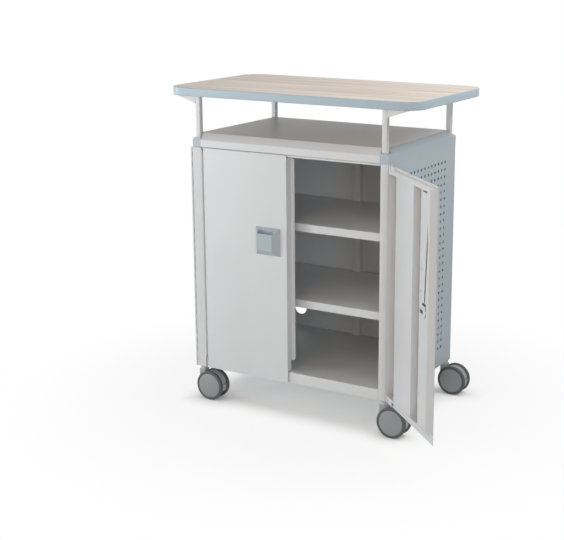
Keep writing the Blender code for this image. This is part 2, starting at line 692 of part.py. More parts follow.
# Astragal that laps behind the right door
lap_u = (DOOR_WIDTH - LAP_HOLD, DOOR_WIDTH + LAP_REACH)
lap_z = (PAN_Z0 + LAP_RAISE, PAN_Z1 - LAP_DROP)
outline = [(lap_u[0], lap_z[0]), (lap_u[1] - LAP_BEVEL, lap_z[0]), (lap_u[1], lap_z[0] + LAP_BEVEL),
           (lap_u[1], lap_z[1] - LAP_BEVEL), (lap_u[1] - LAP_BEVEL, lap_z[1]), (lap_u[0], lap_z[1])]
lap_y = PAN_T + GAP - AXIS_T
bm = bmesh.new()
add_prism(bm, outline, "y", lap_y, lap_y + SHEET)
make("left_door_astragal", bm, "paint_grey", DOORS["left"])


# Casters: hooded housings that swivel in the sockets, twin wheels turning on one axle
tread = WHEEL_RADIUS / math.cos(math.pi / FACETS)
wheel_in = WHEEL_CENTRE - WHEEL_WIDTH / 2
wheel_out = WHEEL_CENTRE + WHEEL_WIDTH / 2
half_set = [(AXLE_R, wheel_in), (tread - WHEEL_BEVEL, wheel_in), (tread, wheel_in + WHEEL_BEVEL),
            (tread, wheel_out - 2 * WHEEL_BEVEL), (tread - WHEEL_BEVEL, wheel_out - RUN),
            (tread - WHEEL_RIM + 2 * RUN, wheel_out - SHEET), (tread - WHEEL_RIM, wheel_out)]
wheel_set = [(radius, -depth) for radius, depth in reversed(half_set)] + half_set
axle = (CASTER_TRAIL, WHEEL_RADIUS)
low_turn = math.degrees(math.asin((HOOD_UNDER - WHEEL_RADIUS) / HOOD_RADIUS))
neck_turn = math.degrees(math.acos((NECK_R - CASTER_TRAIL) / HOOD_RADIUS))
neck_top = NECK_Z + NECK_DROP
tail_turn = math.degrees(math.asin((HOOD_TAIL - WHEEL_RADIUS) / HOOD_RADIUS))
hood = arc(axle, HOOD_RADIUS, tail_turn, neck_turn, 10)
hood += [(NECK_R, neck_top), (-NECK_R, neck_top), (-NECK_R, WHEEL_RADIUS + NECK_R)]
hood += arc(axle, HOOD_RADIUS, 175, 180 - low_turn, 2)
hood.append((CASTER_TRAIL + HOOD_BOSS, HOOD_UNDER))

for corner, sx, sy in CORNERS:
    x, y = sx * CASTER_X, sy * CASTER_Y
    axle_x = x + CASTER_TRAIL
    hood_half = wheel_in - 2 * GAP

    bm = bmesh.new()
    add_cylinder(bm, (x, y), NECK_R, "z", NECK_Z, BASE_Z - GAP, 20)
    housing = make("caster_" + corner + "_housing", bm, "caster_grey", None, (x, y, NECK_Z))
    bm = bmesh.new()
    add_cylinder(bm, (x, y), STEM_R, "z", NECK_Z + NECK_DROP, BASE_Z + SOCKET_DEPTH - STEM_CLEAR, 12)
    combine(housing, bm, "UNION")
    bm = bmesh.new()
    add_prism(bm, [(x + a, b) for a, b in hood], "y", y - hood_half, y + hood_half)
    combine(housing, bm, "UNION")
    bm = bmesh.new()
    add_cylinder(bm, (axle_x, WHEEL_RADIUS), AXLE_R + GAP, "y", y - wheel_out, y + wheel_out, FACETS)
    combine(housing, bm, "DIFFERENCE")

    bm = bmesh.new()
    turn = math.pi / FACETS + math.pi / 2
    rings = add_rings(bm, [[(axle_x + a, y + depth, WHEEL_RADIUS + b) for a, b in circle(radius, FACETS, turn)]
                           for radius, depth in wheel_set], closed=False)
    bm.faces.new(rings[0])
    bm.faces.new(rings[-1])
    make("caster_" + corner + "_wheels", bm, "wheel_grey", None, (axle_x, y, WHEEL_RADIUS))


# Round faces shaded smooth, folds and edges kept sharp
for thing in bpy.data.objects:
    if thing.type == "MESH":
        thing.data.shade_smooth()
        thing.data.set_sharp_from_angle(angle=math.radians(35))
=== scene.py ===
# Mobile storage cabinet: the look of each piece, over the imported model's frame. Metres, +Z up.
import math

import bmesh
import bpy
from mathutils import Matrix, Vector


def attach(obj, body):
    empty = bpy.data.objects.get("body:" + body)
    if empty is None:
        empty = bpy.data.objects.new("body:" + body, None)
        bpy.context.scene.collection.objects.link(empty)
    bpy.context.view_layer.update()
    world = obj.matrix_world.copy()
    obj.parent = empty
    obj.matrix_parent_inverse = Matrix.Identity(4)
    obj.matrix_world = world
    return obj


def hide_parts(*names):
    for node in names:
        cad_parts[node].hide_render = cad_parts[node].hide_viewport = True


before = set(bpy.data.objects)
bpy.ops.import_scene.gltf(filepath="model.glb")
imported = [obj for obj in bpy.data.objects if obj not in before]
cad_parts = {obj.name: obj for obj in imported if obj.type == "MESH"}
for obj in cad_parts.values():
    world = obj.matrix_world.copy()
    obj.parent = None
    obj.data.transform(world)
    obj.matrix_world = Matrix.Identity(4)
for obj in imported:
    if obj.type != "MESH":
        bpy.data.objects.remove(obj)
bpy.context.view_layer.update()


# Corner posts: four upright box sections folded from sheet steel and welded into the frame, then powder
# coated light grey. Each foot is closed by a plate with the socket that takes the stem of a caster.
SHEET = 0.0015
BASE_Z = 0.115
POST_X = (0.332, 0.3602)
POST_Y = (0.181, 0.241)
POST_TOP = 0.8727
POST_BEND, POST_BEND_IN = 0.003, 0.0016
BEND_STEPS = 4
FOOT_PLATE_Z = (BASE_Z + 0.0005, BASE_Z + 0.003)
SOCKET = (0.349, 0.230)
SOCKET_R, SOCKET_SIDES = 0.0062, 32
CORNERS = {"front_left": (-1, -1), "front_right": (1, -1), "back_left": (-1, 1), "back_right": (1, 1)}
CLOUD_MM = 140
PEEL_DEPTH = 0.0003
SHARP_ANGLE = 34


def linear(hex_colour):
    """An sRGB hex colour as linear red, green, blue and alpha."""
    parts = [int(hex_colour[k:k + 2], 16) / 255 for k in (1, 3, 5)]
    return [p / 12.92 if p <= 0.04045 else ((p + 0.055) / 1.055) ** 2.4 for p in parts] + [1.0]


def add_node(tree, kind, inputs, **settings):
    """A node with its settings, and its inputs set or linked."""
    made = tree.nodes.new(kind)
    for key, value in settings.items():
        setattr(made, key, value)
    for key, value in inputs.items():
        if isinstance(value, bpy.types.NodeSocket):
            tree.links.new(value, made.inputs[key])
        else:
            made.inputs[key].default_value = value
    return made


def coat(name, pale, deep, rough, peel_mm, peel):
    """Baked powder coat or moulded plastic: a soft sheen over a fine peel, with a faint cloud of colour."""
    material = bpy.data.materials.new(name)
    material.use_nodes = True
    tree = material.node_tree
    shader = tree.nodes["Principled BSDF"]
    where = add_node(tree, "ShaderNodeTexCoord", {}).outputs["Object"]
    cloud = add_node(tree, "ShaderNodeTexNoise", {"Vector": where, "Scale": 1000 / CLOUD_MM, "Detail": 3.0})
    tint = add_node(tree, "ShaderNodeMix", {0: cloud.outputs["Fac"], 6: linear(pale), 7: linear(deep)},
                    data_type="RGBA")
    grain = add_node(tree, "ShaderNodeTexNoise", {"Vector": where, "Scale": 1000 / peel_mm, "Detail": 2.0})
    bump = add_node(tree, "ShaderNodeBump",
                    {"Height": grain.outputs["Fac"], "Strength": peel, "Distance": PEEL_DEPTH})
    tree.links.new(tint.outputs[2], shader.inputs["Base Color"])
    tree.links.new(bump.outputs["Normal"], shader.inputs["Normal"])
    shader.inputs["Roughness"].default_value = rough
    shader.inputs["IOR"].default_value = 1.5
    return material


def place(axis, a, b, along):
    """A point from its two coordinates across an axis and one along it."""
    if axis == "x":
        return Vector((along, a, b))
    if axis == "y":
        return Vector((a, along, b))
    return Vector((a, b, along))


def skin_over(bm, loops, joined, capped=True):
    """Faces over a run of equal loops, joined end to end, or closed by two end faces, or left open."""
    rings = [[bm.verts.new(point) for point in loop] for loop in loops]
    for k in range(len(rings) if joined else len(rings) - 1):
        this, after = rings[k], rings[(k + 1) % len(rings)]
        for i in range(len(this)):
            j = (i + 1) % len(this)
            bm.faces.new((this[i], this[j], after[j], after[i]))
    if capped and not joined:
        bm.faces.new(rings[0])
        bm.faces.new(rings[-1])


def arc(centre, radius, start, end, steps):
    """Points along an arc, in degrees."""
    turns = [math.radians(start + (end - start) * k / steps) for k in range(steps + 1)]
    return [(centre[0] + radius * math.cos(t), centre[1] + radius * math.sin(t)) for t in turns]


def rounded(x, y, radius, steps):
    """A rectangle between limits, with round corners."""
    points = []
    for quarter, (cx, cy) in enumerate(((x[1], y[1]), (x[0], y[1]), (x[0], y[0]), (x[1], y[0]))):
        sx, sy = (1, -1, -1, 1)[quarter], (1, 1, -1, -1)[quarter]
        points += arc((cx - sx * radius, cy - sy * radius), radius, 90 * quarter, 90 * quarter + 90, steps)
    return points


def mirrored(low, high, sign):
    """Limits on one side or the other."""
    return (low, high) if sign > 0 else (-high, -low)


def within(limits):
    """Limits moved in by a sheet's thickness."""
    return limits[0] + SHEET, limits[1] - SHEET


def tube(bm, x, y, z, bend, bend_in):
    """An upright box tube of sheet steel between limits, open at both ends."""
    outside = rounded(x, y, bend, BEND_STEPS)
    inside = rounded(within(x), within(y), bend_in, BEND_STEPS)
    loops = [[(a, b, level) for a, b in line] for line, level in
             ((outside, z[0]), (outside, z[1]), (inside, z[1]), (inside, z[0]))]
    skin_over(bm, loops, True)


def drilled_cell(bm, a, b, axis, low, high, centre, radius, count, closed=True):
    """A plate between limits a and b with a round hole in it, closed round its outside or left open there."""
    hole, edge = [], []
    for k in range(count):
        turn = 2 * math.pi * k / count
        c, s = math.cos(turn), math.sin(turn)
        hole.append((centre[0] + radius * c, centre[1] + radius * s))
        reach_a = (a[1] - centre[0] if c > 0 else centre[0] - a[0]) / max(abs(c), abs(s))
        reach_b = (b[1] - centre[1] if s > 0 else centre[1] - b[0]) / max(abs(c), abs(s))
        edge.append((centre[0] + reach_a * c, centre[1] + reach_b * s))
    loops = [[place(axis, p, q, level) for p, q in line]
             for line, level in ((edge, high), (hole, high), (hole, low), (edge, low))]
    skin_over(bm, loops, closed, False)


def dress(name, bm, look, body, slot, *solids):
    """A finished piece that rides on a body in place of its plain solids."""
    bmesh.ops.recalc_face_normals(bm, faces=bm.faces)
    mesh = bpy.data.meshes.new(name)
    bm.to_mesh(mesh)
    bm.free()
    mesh.materials.append(look)
    mesh.shade_smooth()
    mesh.set_sharp_from_angle(angle=math.radians(SHARP_ANGLE))
    thing = bpy.data.objects.new(name, mesh)
    bpy.context.scene.collection.objects.link(thing)
    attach(thing, body)
    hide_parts(*solids)


# Light grey polyester powder coat, baked: an even, slightly soft sheen. Its peel of about 1 mm would be too
# fine to show and is drawn at 5 mm.
grey_coat = coat("light_grey_powder_coat", "#D9DADB", "#D3D4D5", 0.42, 5.0, 0.05)

for corner, (sx, sy) in CORNERS.items():
    bm = bmesh.new()
    x, y = mirrored(*POST_X, sx), mirrored(*POST_Y, sy)
    tube(bm, x, y, (BASE_Z, POST_TOP), POST_BEND, POST_BEND_IN)
    drilled_cell(bm, within(x), within(y), "z", *FOOT_PLATE_Z, (sx * SOCKET[0], sy * SOCKET[1]), SOCKET_R,
                 SOCKET_SIDES)
    dress("corner_post_tube_" + corner, bm, grey_coat, "cabinet", "paint_grey", "corner_post_" + corner)


# Casters: twin-wheel swivel casters. A hood moulded in mid grey nylon turns on a steel stem in the post's
# socket and carries the axle; both wheels have a dark soft tread on a grey moulded disc, and turn on it.
WHEEL_R = 0.0508
WHEEL_IN, WHEEL_OUT = 0.0125, 0.0305
TRAIL = 0.036
AXLE = (TRAIL, WHEEL_R)
AXLE_R, AXLE_LAP = 0.0060, 0.002
HOOD_R, HOOD_HALF = 0.0463, 0.0119
TAB_TURN, NOTCH_TURN, BACK_TURN, FRONT_TURN = (-24, 7), (8, 11), (12, 121.9), (175, 196)
HOOD_NOTCH = 0.004
HOOD_ROUND = 0.0018
HOOD_FOOT = (TRAIL + 0.014, 0.038)
NECK_R = 0.0115
NECK_Z = (0.0623, 0.1016)
STEM_R = 0.0055
WHEEL_SIDES, STEM_SIDES, AXLE_SIDES = 64, 40, 24
EDGE_ANGLE = 30

# Sections to be turned, from radii and places along the axis: the stem with its collar, and on one side
# of the caster the tread and the domed disc inside it.
STEM = [(STEM_R, 0.100), (NECK_R, 0.1018), (NECK_R, 0.1130), (0.0100, 0.1145), (STEM_R, 0.1145),
        (STEM_R, 0.142), (0.0045, 0.143)]
TREAD = [(0.0433, WHEEL_IN + 0.001), (0.0473, WHEEL_IN + 0.0003), (0.0495, WHEEL_IN + 0.0012),
         (0.0506, WHEEL_IN + 0.0035), (WHEEL_R, WHEEL_IN + 0.006), (WHEEL_R, WHEEL_OUT - 0.0070),
         (0.0504, WHEEL_OUT - 0.0058), (0.0492, WHEEL_OUT - 0.0045), (0.0470, WHEEL_OUT - 0.0037),
         (0.0433, WHEEL_OUT - 0.0035), (0.0420, WHEEL_OUT - 0.0045), (0.0408, WHEEL_OUT - 0.007),
         (0.0408, WHEEL_IN + 0.004)]
DISC = [(0.0066, WHEEL_IN + 0.0003), (0.0418, WHEEL_IN + 0.0003), (0.0436, WHEEL_IN + 0.0016),
        (0.0413, WHEEL_IN + 0.006), (0.0413, WHEEL_OUT - 0.0062), (0.0417, WHEEL_OUT - 0.0048),
        (0.0408, WHEEL_OUT - 0.0040), (0.0380, WHEEL_OUT - 0.0033), (0.0320, WHEEL_OUT - 0.0023),
        (0.0250, WHEEL_OUT - 0.0014), (0.0180, WHEEL_OUT - 0.0007), (0.0100, WHEEL_OUT - 0.0002),
        (0.0010, WHEEL_OUT)]


def soften(bm, width, steps):
    """Round over the sharp edges."""
    least = math.radians(EDGE_ANGLE)
    sharp = [edge for edge in bm.edges if edge.is_manifold and edge.calc_face_angle(0.0) > least]
    bmesh.ops.bevel(bm, geom=sharp, offset=width, segments=steps, profile=0.5, affect="EDGES",
                    clamp_overlap=True)


def turned(bm, profile, centre, axis, count, joined):
    """A profile of radii and places along an axis, turned round it."""
    loops = []
    for radius, along in profile:
        turns = [2 * math.pi * k / count for k in range(count)]
        loops.append([place(axis, centre[0] + radius * math.cos(t), centre[1] + radius * math.sin(t), along)
                      for t in turns])
    skin_over(bm, loops, joined)


# Mid grey nylon, moulded: dull on the hood and a little smoother on the discs, with a faint grain of about
# 1 mm drawn at 3 mm.
hood_nylon = coat("grey_hood_nylon", "#AFB2B2", "#A8ABAB", 0.5, 3.0, 0.06)
disc_nylon = coat("grey_disc_nylon", "#979A9C", "#909395", 0.42, 3.0, 0.05)
# Steel stem and collar with a light grey baked coat, as dull as the hood.
stem_steel = coat("light_grey_coated_stem", "#C6C8C9", "#C0C2C3", 0.5, 3.0, 0.04)
# Dark thermoplastic rubber, moulded on the wheel: matt, with a scuffed grain drawn at 2 mm.
tread_rubber = coat("dark_tread_rubber", "#555A5A", "#4E5353", 0.6, 2.0, 0.12)

# The hood's side view follows the wheel round from a tab low at the back, with a small notch over the tab,
# to the neck and down in front, and closes with two straight cuts under the axle.
hood_line = arc(AXLE, HOOD_R, *TAB_TURN, 6) + arc(AXLE, HOOD_R - HOOD_NOTCH, *NOTCH_TURN, 1)
hood_line += arc(AXLE, HOOD_R, *BACK_TURN, 22)
hood_line += [(NECK_R, NECK_Z[1]), (-NECK_R, NECK_Z[1]), (-NECK_R, NECK_Z[0])]
hood_line += arc(AXLE, HOOD_R, *FRONT_TURN, 4) + [HOOD_FOOT]
for corner, (sx, sy) in CORNERS.items():
    x, y = sx * SOCKET[0], sy * SOCKET[1]
    housing = "caster_" + corner + "_housing"
    bm = bmesh.new()
    loops = [[(x + a, y + depth, b) for a, b in hood_line] for depth in (-HOOD_HALF, HOOD_HALF)]
    skin_over(bm, loops, False)
    soften(bm, HOOD_ROUND, 3)
    dress("caster_hood_" + corner, bm, hood_nylon, "caster_" + corner, "caster_grey", housing)
    bm = bmesh.new()
    turned(bm, STEM, (x, y), "z", STEM_SIDES, False)
    dress("caster_stem_" + corner, bm, stem_steel, "caster_" + corner, "steel", housing)

    axle_at = (x + TRAIL, WHEEL_R)
    wheels = "caster_" + corner + "_wheels"
    tread = bmesh.new()
    disc = bmesh.new()
    for side in (-1, 1):
        turned(tread, [(r, y + side * d) for r, d in TREAD], axle_at, "y", WHEEL_SIDES, True)
        turned(disc, [(r, y + side * d) for r, d in DISC], axle_at, "y", WHEEL_SIDES, False)
    axle_ends = (y - WHEEL_IN - AXLE_LAP, y + WHEEL_IN + AXLE_LAP)
    turned(disc, [(AXLE_R, end) for end in axle_ends], axle_at, "y", AXLE_SIDES, False)
    dress("caster_treads_" + corner, tread, tread_rubber, "wheels_" + corner, "wheel_grey", wheels)
    dress("caster_discs_" + corner, disc, disc_nylon, "wheels_" + corner, "caster_grey", wheels)


# Cabinet floor: one sheet folded down at its front into the rail under the doors and at its back into a
# flange. It is cut round the posts and pierced by two square holes for the latch rods.
GAP = 0.0003
FLOOR_Z = 0.150
FLOOR_FLANGE = 0.020
POST_IN, INNER_W = POST_X
POST_BACK, FRAME_Y = POST_Y
RAIL_Y = -FRAME_Y + 0.0005
ROD = (0.011, -0.235)
ROD_HOLE_HALF = 0.005
ROD_HOLE_Y = (ROD[1] - 0.003, ROD[1] + 0.005)
BEND_R = 0.001
BEND_END = 0.0005
NEARLY_FLAT = 150


def bent(path, thick):
    """A sheet's line with its bends rounded: 1 mm inside, and a sheet more outside."""
    points = [Vector(path[0])]
    for before, corner, after in zip(path, path[1:], path[2:]):
        here = Vector(corner)
        back, on = (Vector(before) - here).normalized(), (Vector(after) - here).normalized()
        opening = back.angle(on)
        if opening > math.radians(NEARLY_FLAT):
            points.append(here)
            continue
        left = on.x * back.y - on.y * back.x > 0
        radius = BEND_R + (abs(thick) if left == (thick > 0) else 0.0)
        reach = radius / math.tan(opening / 2)
        centre = here + (back + on).normalized() * (radius / math.sin(opening / 2))
        start, end = here + back * reach - centre, here + on * reach - centre
        sweep = math.pi - opening
        for k in range(BEND_STEPS + 1):
            share = k / BEND_STEPS * sweep
            spoke = (start * math.sin(sweep - share) + end * math.sin(share)) / math.sin(sweep)
            points.append(centre + spoke)
    return points + [Vector(path[-1])]


def beside(points, distance):
    """A line moved to its left."""
    moved = []
    for i, here in enumerate(points):
        runs = []
        if i > 0:
            runs.append((here - points[i - 1]).normalized())
        if i + 1 < len(points):
            runs.append((points[i + 1] - here).normalized())
        total = sum((Vector((-run.y, run.x)) for run in runs), Vector((0.0, 0.0)))
        moved.append(here + total * (distance * len(runs) / total.length_squared))
    return moved


def folded(bm, path, thick, axis, stations, keep=None):
    """A folded sheet along an axis, left out where keep, given the middle of a cell, says no."""
    line = bent(path, thick)
    faces = (line, beside(line, thick))
    verts = {}

    def vert(side, i, j):
        if (side, i, j) not in verts:
            a, b = faces[side][i]
            verts[side, i, j] = bm.verts.new(place(axis, a, b, stations[j]))
        return verts[side, i, j]

    def filled(i, j):
        if not (0 <= i < len(line) - 1 and 0 <= j < len(stations) - 1):
            return False
        a, b = (line[i] + line[i + 1]) / 2
        return keep is None or keep(a, b, (stations[j] + stations[j + 1]) / 2)

    for i in range(len(line) - 1):
        for j in range(len(stations) - 1):
            if not filled(i, j):
                continue
            for side in (0, 1):
                bm.faces.new([vert(side, i, j), vert(side, i + 1, j), vert(side, i + 1, j + 1),
                              vert(side, i, j + 1)])
            edges = (((i - 1, j), (i, j), (i, j + 1)), ((i + 1, j), (i + 1, j), (i + 1, j + 1)),
                     ((i, j - 1), (i, j), (i + 1, j)), ((i, j + 1), (i, j + 1), (i + 1, j + 1)))
            for beyond, start, end in edges:
                if not filled(*beyond):
                    bm.faces.new([vert(0, *start), vert(0, *end), vert(1, *end), vert(1, *start)])


def floor_cell(y, z, x):
    """Whether the floor has metal here: not at the posts, nor in the holes, which take in the bend's end."""
    in_hole = abs(abs(x) - ROD[0]) < ROD_HOLE_HALF and ROD_HOLE_Y[0] - BEND_END < y < ROD_HOLE_Y[1]
    return (abs(x) < POST_IN or abs(y) < POST_BACK) and not in_hole


floor_line = [(RAIL_Y, BASE_Z), (RAIL_Y, FLOOR_Z), (ROD_HOLE_Y[0], FLOOR_Z), (ROD_HOLE_Y[1], FLOOR_Z),
              (-POST_BACK + GAP, FLOOR_Z), (POST_BACK - GAP, FLOOR_Z), (FRAME_Y - GAP, FLOOR_Z),
              (FRAME_Y - GAP, FLOOR_Z - FLOOR_FLANGE)]
floor_x = [-INNER_W, -POST_IN + GAP, -ROD[0] - ROD_HOLE_HALF, -ROD[0] + ROD_HOLE_HALF, ROD[0] - ROD_HOLE_HALF,
           ROD[0] + ROD_HOLE_HALF, POST_IN - GAP, INNER_W]
bm = bmesh.new()
folded(bm, floor_line, -SHEET, "x", floor_x, floor_cell)
dress("floor_sheet", bm, grey_coat, "cabinet", "paint_grey", "bottom_panel")


# Back panel: a flat sheet spot-welded to the posts, with one punched hole for a power cable. A folded channel
# stands against its middle as a stiffener.
CABLE_HOLE = (-0.244, 0.215)
CABLE_R, CABLE_CELL, CABLE_SIDES = 0.0245, 0.04, 64
BACK_Y = (FRAME_Y + GAP, FRAME_Y + GAP + SHEET)
CHANNEL_HALF, CHANNEL_DEPTH, CHANNEL_TOP = 0.014, 0.020, 0.872
hole_x, hole_z = [(middle - CABLE_CELL, middle + CABLE_CELL) for middle in CABLE_HOLE]
back_line = [(x, BACK_Y[0]) for x in (-INNER_W, *hole_x, INNER_W)]
bm = bmesh.new()
folded(bm, back_line, SHEET, "z", [BASE_Z, *hole_z, POST_TOP],
       lambda x, y, z: not (hole_x[0] < x < hole_x[1] and hole_z[0] < z < hole_z[1]))
drilled_cell(bm, hole_x, hole_z, "y", *BACK_Y, CABLE_HOLE, CABLE_R, CABLE_SIDES)
dress("back_sheet", bm, grey_coat, "cabinet", "paint_grey", "back_panel")

channel_front = FRAME_Y - CHANNEL_DEPTH
channel_line = [(-CHANNEL_HALF, FRAME_Y), (-CHANNEL_HALF, channel_front), (CHANNEL_HALF, channel_front),
                (CHANNEL_HALF, FRAME_Y)]
bm = bmesh.new()
folded(bm, channel_line, SHEET, "z", [FLOOR_Z + GAP, CHANNEL_TOP])
dress("back_channel", bm, grey_coat, "cabinet", "paint_grey", "back_post")


# Side panels: blue-grey sheets punched with a grid of 11 mm holes on about an inch pitch, as perforated
# panels are. Their top edge is bent inwards to a slope that meets the deck, and they are welded to the posts.
HALF_W = 0.362
DECK_Z = 0.920
CAP_EDGE = 0.2157
SIDE_BACK = 0.245
SIDE_SHEET = 0.0010
SIDE_SLOPE = (0.0195, 0.0205)
HOLE_R, HOLE_SIDES = 0.0055, 16
HOLE_PITCH = (0.0254, 0.02462)
HOLE_COUNT = (14, 27)
HOLE_TOP = 0.823
FIELD_Y = HOLE_PITCH[0] * HOLE_COUNT[0] / 2
FIELD_Z = (HOLE_TOP - HOLE_PITCH[1] * (HOLE_COUNT[1] - 0.5), HOLE_TOP + HOLE_PITCH[1] / 2)
WELD = 0.00001

# Blue-grey polyester powder coat, baked: as the light grey one, a little duller.
blue_coat = coat("blue_grey_powder_coat", "#B2BEC6", "#ACB8C0", 0.45, 5.0, 0.05)


def side_cell(x, z, y):
    """Whether the fold round the punched field has metal here: not at the caps, nor in the field itself."""
    in_field = abs(y) < FIELD_Y and FIELD_Z[0] < z < FIELD_Z[1]
    return (abs(y) < CAP_EDGE or z < POST_TOP) and not in_field


side_line = [(HALF_W, BASE_Z), (HALF_W, FIELD_Z[0]), (HALF_W, FIELD_Z[1]), (HALF_W, POST_TOP),
             (HALF_W, DECK_Z - SIDE_SLOPE[1]), (HALF_W - SIDE_SLOPE[0], DECK_Z - SHEET)]
for side, sx in (("left", -1), ("right", 1)):
    bm = bmesh.new()
    x = mirrored(HALF_W - SIDE_SHEET, HALF_W, sx)
    for column in range(HOLE_COUNT[0]):
        y = -FIELD_Y + HOLE_PITCH[0] * column
        for row in range(HOLE_COUNT[1]):
            z = FIELD_Z[0] + HOLE_PITCH[1] * row
            drilled_cell(bm, (y, y + HOLE_PITCH[0]), (z, z + HOLE_PITCH[1]), "x", *x,
                         (y + HOLE_PITCH[0] / 2, z + HOLE_PITCH[1] / 2), HOLE_R, HOLE_SIDES, False)
    bmesh.ops.remove_doubles(bm, verts=bm.verts, dist=WELD)
    bmesh.ops.bridge_loops(bm, edges=[edge for edge in bm.edges if edge.is_boundary])
    folded(bm, [(sx * a, b) for a, b in side_line], sx * SIDE_SHEET, "y",
           [-CAP_EDGE, -FIELD_Y, FIELD_Y, CAP_EDGE, SIDE_BACK], side_cell)
    dress("perforated_side_" + side, bm, blue_coat, "cabinet", "paint_blue", "side_panel_" + side)


# Shelves: two trays of folded sheet, notched round the back channel. They lie loose on angle rails that are
# welded to the posts on both sides.
SHELF_TOPS = {"upper": 0.645, "lower": 0.389}
SHELF_Y = (-0.1935, 0.231)
SHELF_X = POST_IN - 0.001
SHELF_LIP, SHELF_HEM = 0.026, 0.018
NOTCH_HALF, NOTCH_Y = 0.017, 0.218
ANGLE_DROP, ANGLE_WIDTH = 0.018, 0.014
ANGLE_Y = POST_BACK + 0.010
for level, top in SHELF_TOPS.items():
    tray = [(SHELF_Y[0], top - SHELF_LIP), (SHELF_Y[0], top), (NOTCH_Y, top), (SHELF_Y[1], top),
            (SHELF_Y[1], top - SHELF_HEM)]
    bm = bmesh.new()
    folded(bm, tray, -SHEET, "x", [-SHELF_X, -NOTCH_HALF, NOTCH_HALF, SHELF_X],
           lambda y, z, x: abs(x) > NOTCH_HALF or y < NOTCH_Y)
    dress("shelf_tray_" + level, bm, grey_coat, "cabinet", "paint_grey", "shelf_" + level)
    under = top - SHEET - GAP
    wall = POST_IN - GAP
    for side, sx in (("left", -1), ("right", 1)):
        ledge = [(wall, under - ANGLE_DROP), (wall, under), (wall - ANGLE_WIDTH, under)]
        bm = bmesh.new()
        folded(bm, [(sx * a, b) for a, b in ledge], sx * SHEET, "y", [-ANGLE_Y, ANGLE_Y])
        name = level + "_" + side
        dress("shelf_angle_" + name, bm, grey_coat, "cabinet", "paint_grey", "shelf_rail_" + name)


# Deck: a tray of folded sheet under the worktop, sloped down to a lip at front and back. A folded rail is
# spot-welded under its front lip above the doors.
HALF_D = 0.246
LIP_TOP, LIP_BOTTOM = 0.898, 0.875
DECK_X = 0.341
SLOPE_Y = 0.227
LINTEL_Z = (0.867, 0.874)
LINTEL_DEPTH = 0.035
deck_half = [(HALF_D, LIP_BOTTOM), (HALF_D, LIP_TOP), (SLOPE_Y, DECK_Z), (CAP_EDGE, DECK_Z)]
deck_line = deck_half + [(-y, z) for y, z in reversed(deck_half)]
bm = bmesh.new()
folded(bm, deck_line, SHEET, "x", [-DECK_X, -POST_IN + GAP, POST_IN - GAP, DECK_X],
       lambda y, z, x: abs(x) < POST_IN or abs(y) < CAP_EDGE)
dress("deck_tray", bm, grey_coat, "cabinet", "paint_grey", "deck_panel")

bm = bmesh.new()
folded(bm, [(-FRAME_Y, LINTEL_Z[0]), (-FRAME_Y, LINTEL_Z[1]), (-FRAME_Y + LINTEL_DEPTH, LINTEL_Z[1])], -SHEET,
       "x", [-POST_IN + GAP, POST_IN - GAP])
dress("lintel_rail", bm, grey_coat, "cabinet", "paint_grey", "top_rail")


# Corner caps: blue-grey steel blocks that close the corner posts and hold the feet of the upper posts. Their
# top outer edge is chamfered to carry on the slope of the side panel.
CAP_Z = (0.873, 0.905)
CAP_DEPTH = 0.030
CAP_CHAMFER, CAP_ROUND = 0.006, 0.0015
block = [(POST_IN, CAP_Z[0]), (HALF_W, CAP_Z[0]), (HALF_W, CAP_Z[1] - CAP_CHAMFER),
         (HALF_W - CAP_CHAMFER, CAP_Z[1]), (POST_IN, CAP_Z[1])]
for corner, (sx, sy) in CORNERS.items():
    bm = bmesh.new()
    ends = mirrored(HALF_D - CAP_DEPTH, HALF_D, sy)
    skin_over(bm, [[(sx * a, y, b) for a, b in block] for y in ends], False)
    soften(bm, CAP_ROUND, 3)
    dress("cap_block_" + corner, bm, blue_coat, "cabinet", "paint_blue", "corner_cap_" + corner)


# Upper posts: four short square tubes that raise the worktop over the deck. From the head of each a folded
# steel bracket reaches out under the worktop's end.
UPPER = (0.344, 0.231)
UPPER_HALF = 0.0085
UPPER_BEND, UPPER_BEND_IN = 0.0022, 0.001
TOP_UNDER = 1.040
BRACKET_REACH = 0.065
BRACKET_TIP, BRACKET_ROOT = 0.0035, 0.025
BRACKET_ROUND = 0.0009
root = UPPER[0] + UPPER_HALF + GAP
gusset = [(root, TOP_UNDER - GAP), (root + BRACKET_REACH, TOP_UNDER - GAP),
          (root + BRACKET_REACH, TOP_UNDER - BRACKET_TIP), (root, TOP_UNDER - BRACKET_ROOT)]
for corner, (sx, sy) in CORNERS.items():
    x = mirrored(UPPER[0] - UPPER_HALF, UPPER[0] + UPPER_HALF, sx)
    y = mirrored(UPPER[1] - UPPER_HALF, UPPER[1] + UPPER_HALF, sy)
    bm = bmesh.new()
    tube(bm, x, y, (CAP_Z[1] + GAP, TOP_UNDER - GAP), UPPER_BEND, UPPER_BEND_IN)
    dress("riser_tube_" + corner, bm, grey_coat, "cabinet", "paint_grey", "upper_post_" + corner)

    bm = bmesh.new()
    skin_over(bm, [[(sx * a, b, c) for a, c in gusset] for b in y], False)
    soften(bm, BRACKET_ROUND, 2)
    dress("worktop_gusset_" + corner, bm, grey_coat, "cabinet", "paint_grey", "top_bracket_" + corner)


# Worktop: a chipboard core faced with pale wood-grain laminate and edged all round with a blue-grey plastic
# band, glued on and rounded over at its upper and lower edges.
HEIGHT = 1.067
TOP_HALF = (0.459, 0.258)
TOP_R, TOP_STEPS = 0.066, 24
BAND = 0.003
FACE_SINK = 0.0002
BAND_ROUND = [(0.0018, 0.0), (0.0008, 0.0005), (0.0002, 0.0013), (0.0, 0.0025)]
GRAIN_BANDS, GRAIN_FIBRES = (0.6, 0.030), (0.30, 0.006)
BAND_CONTRAST, FIBRE_CONTRAST = (0.32, 0.68), (0.35, 0.75)

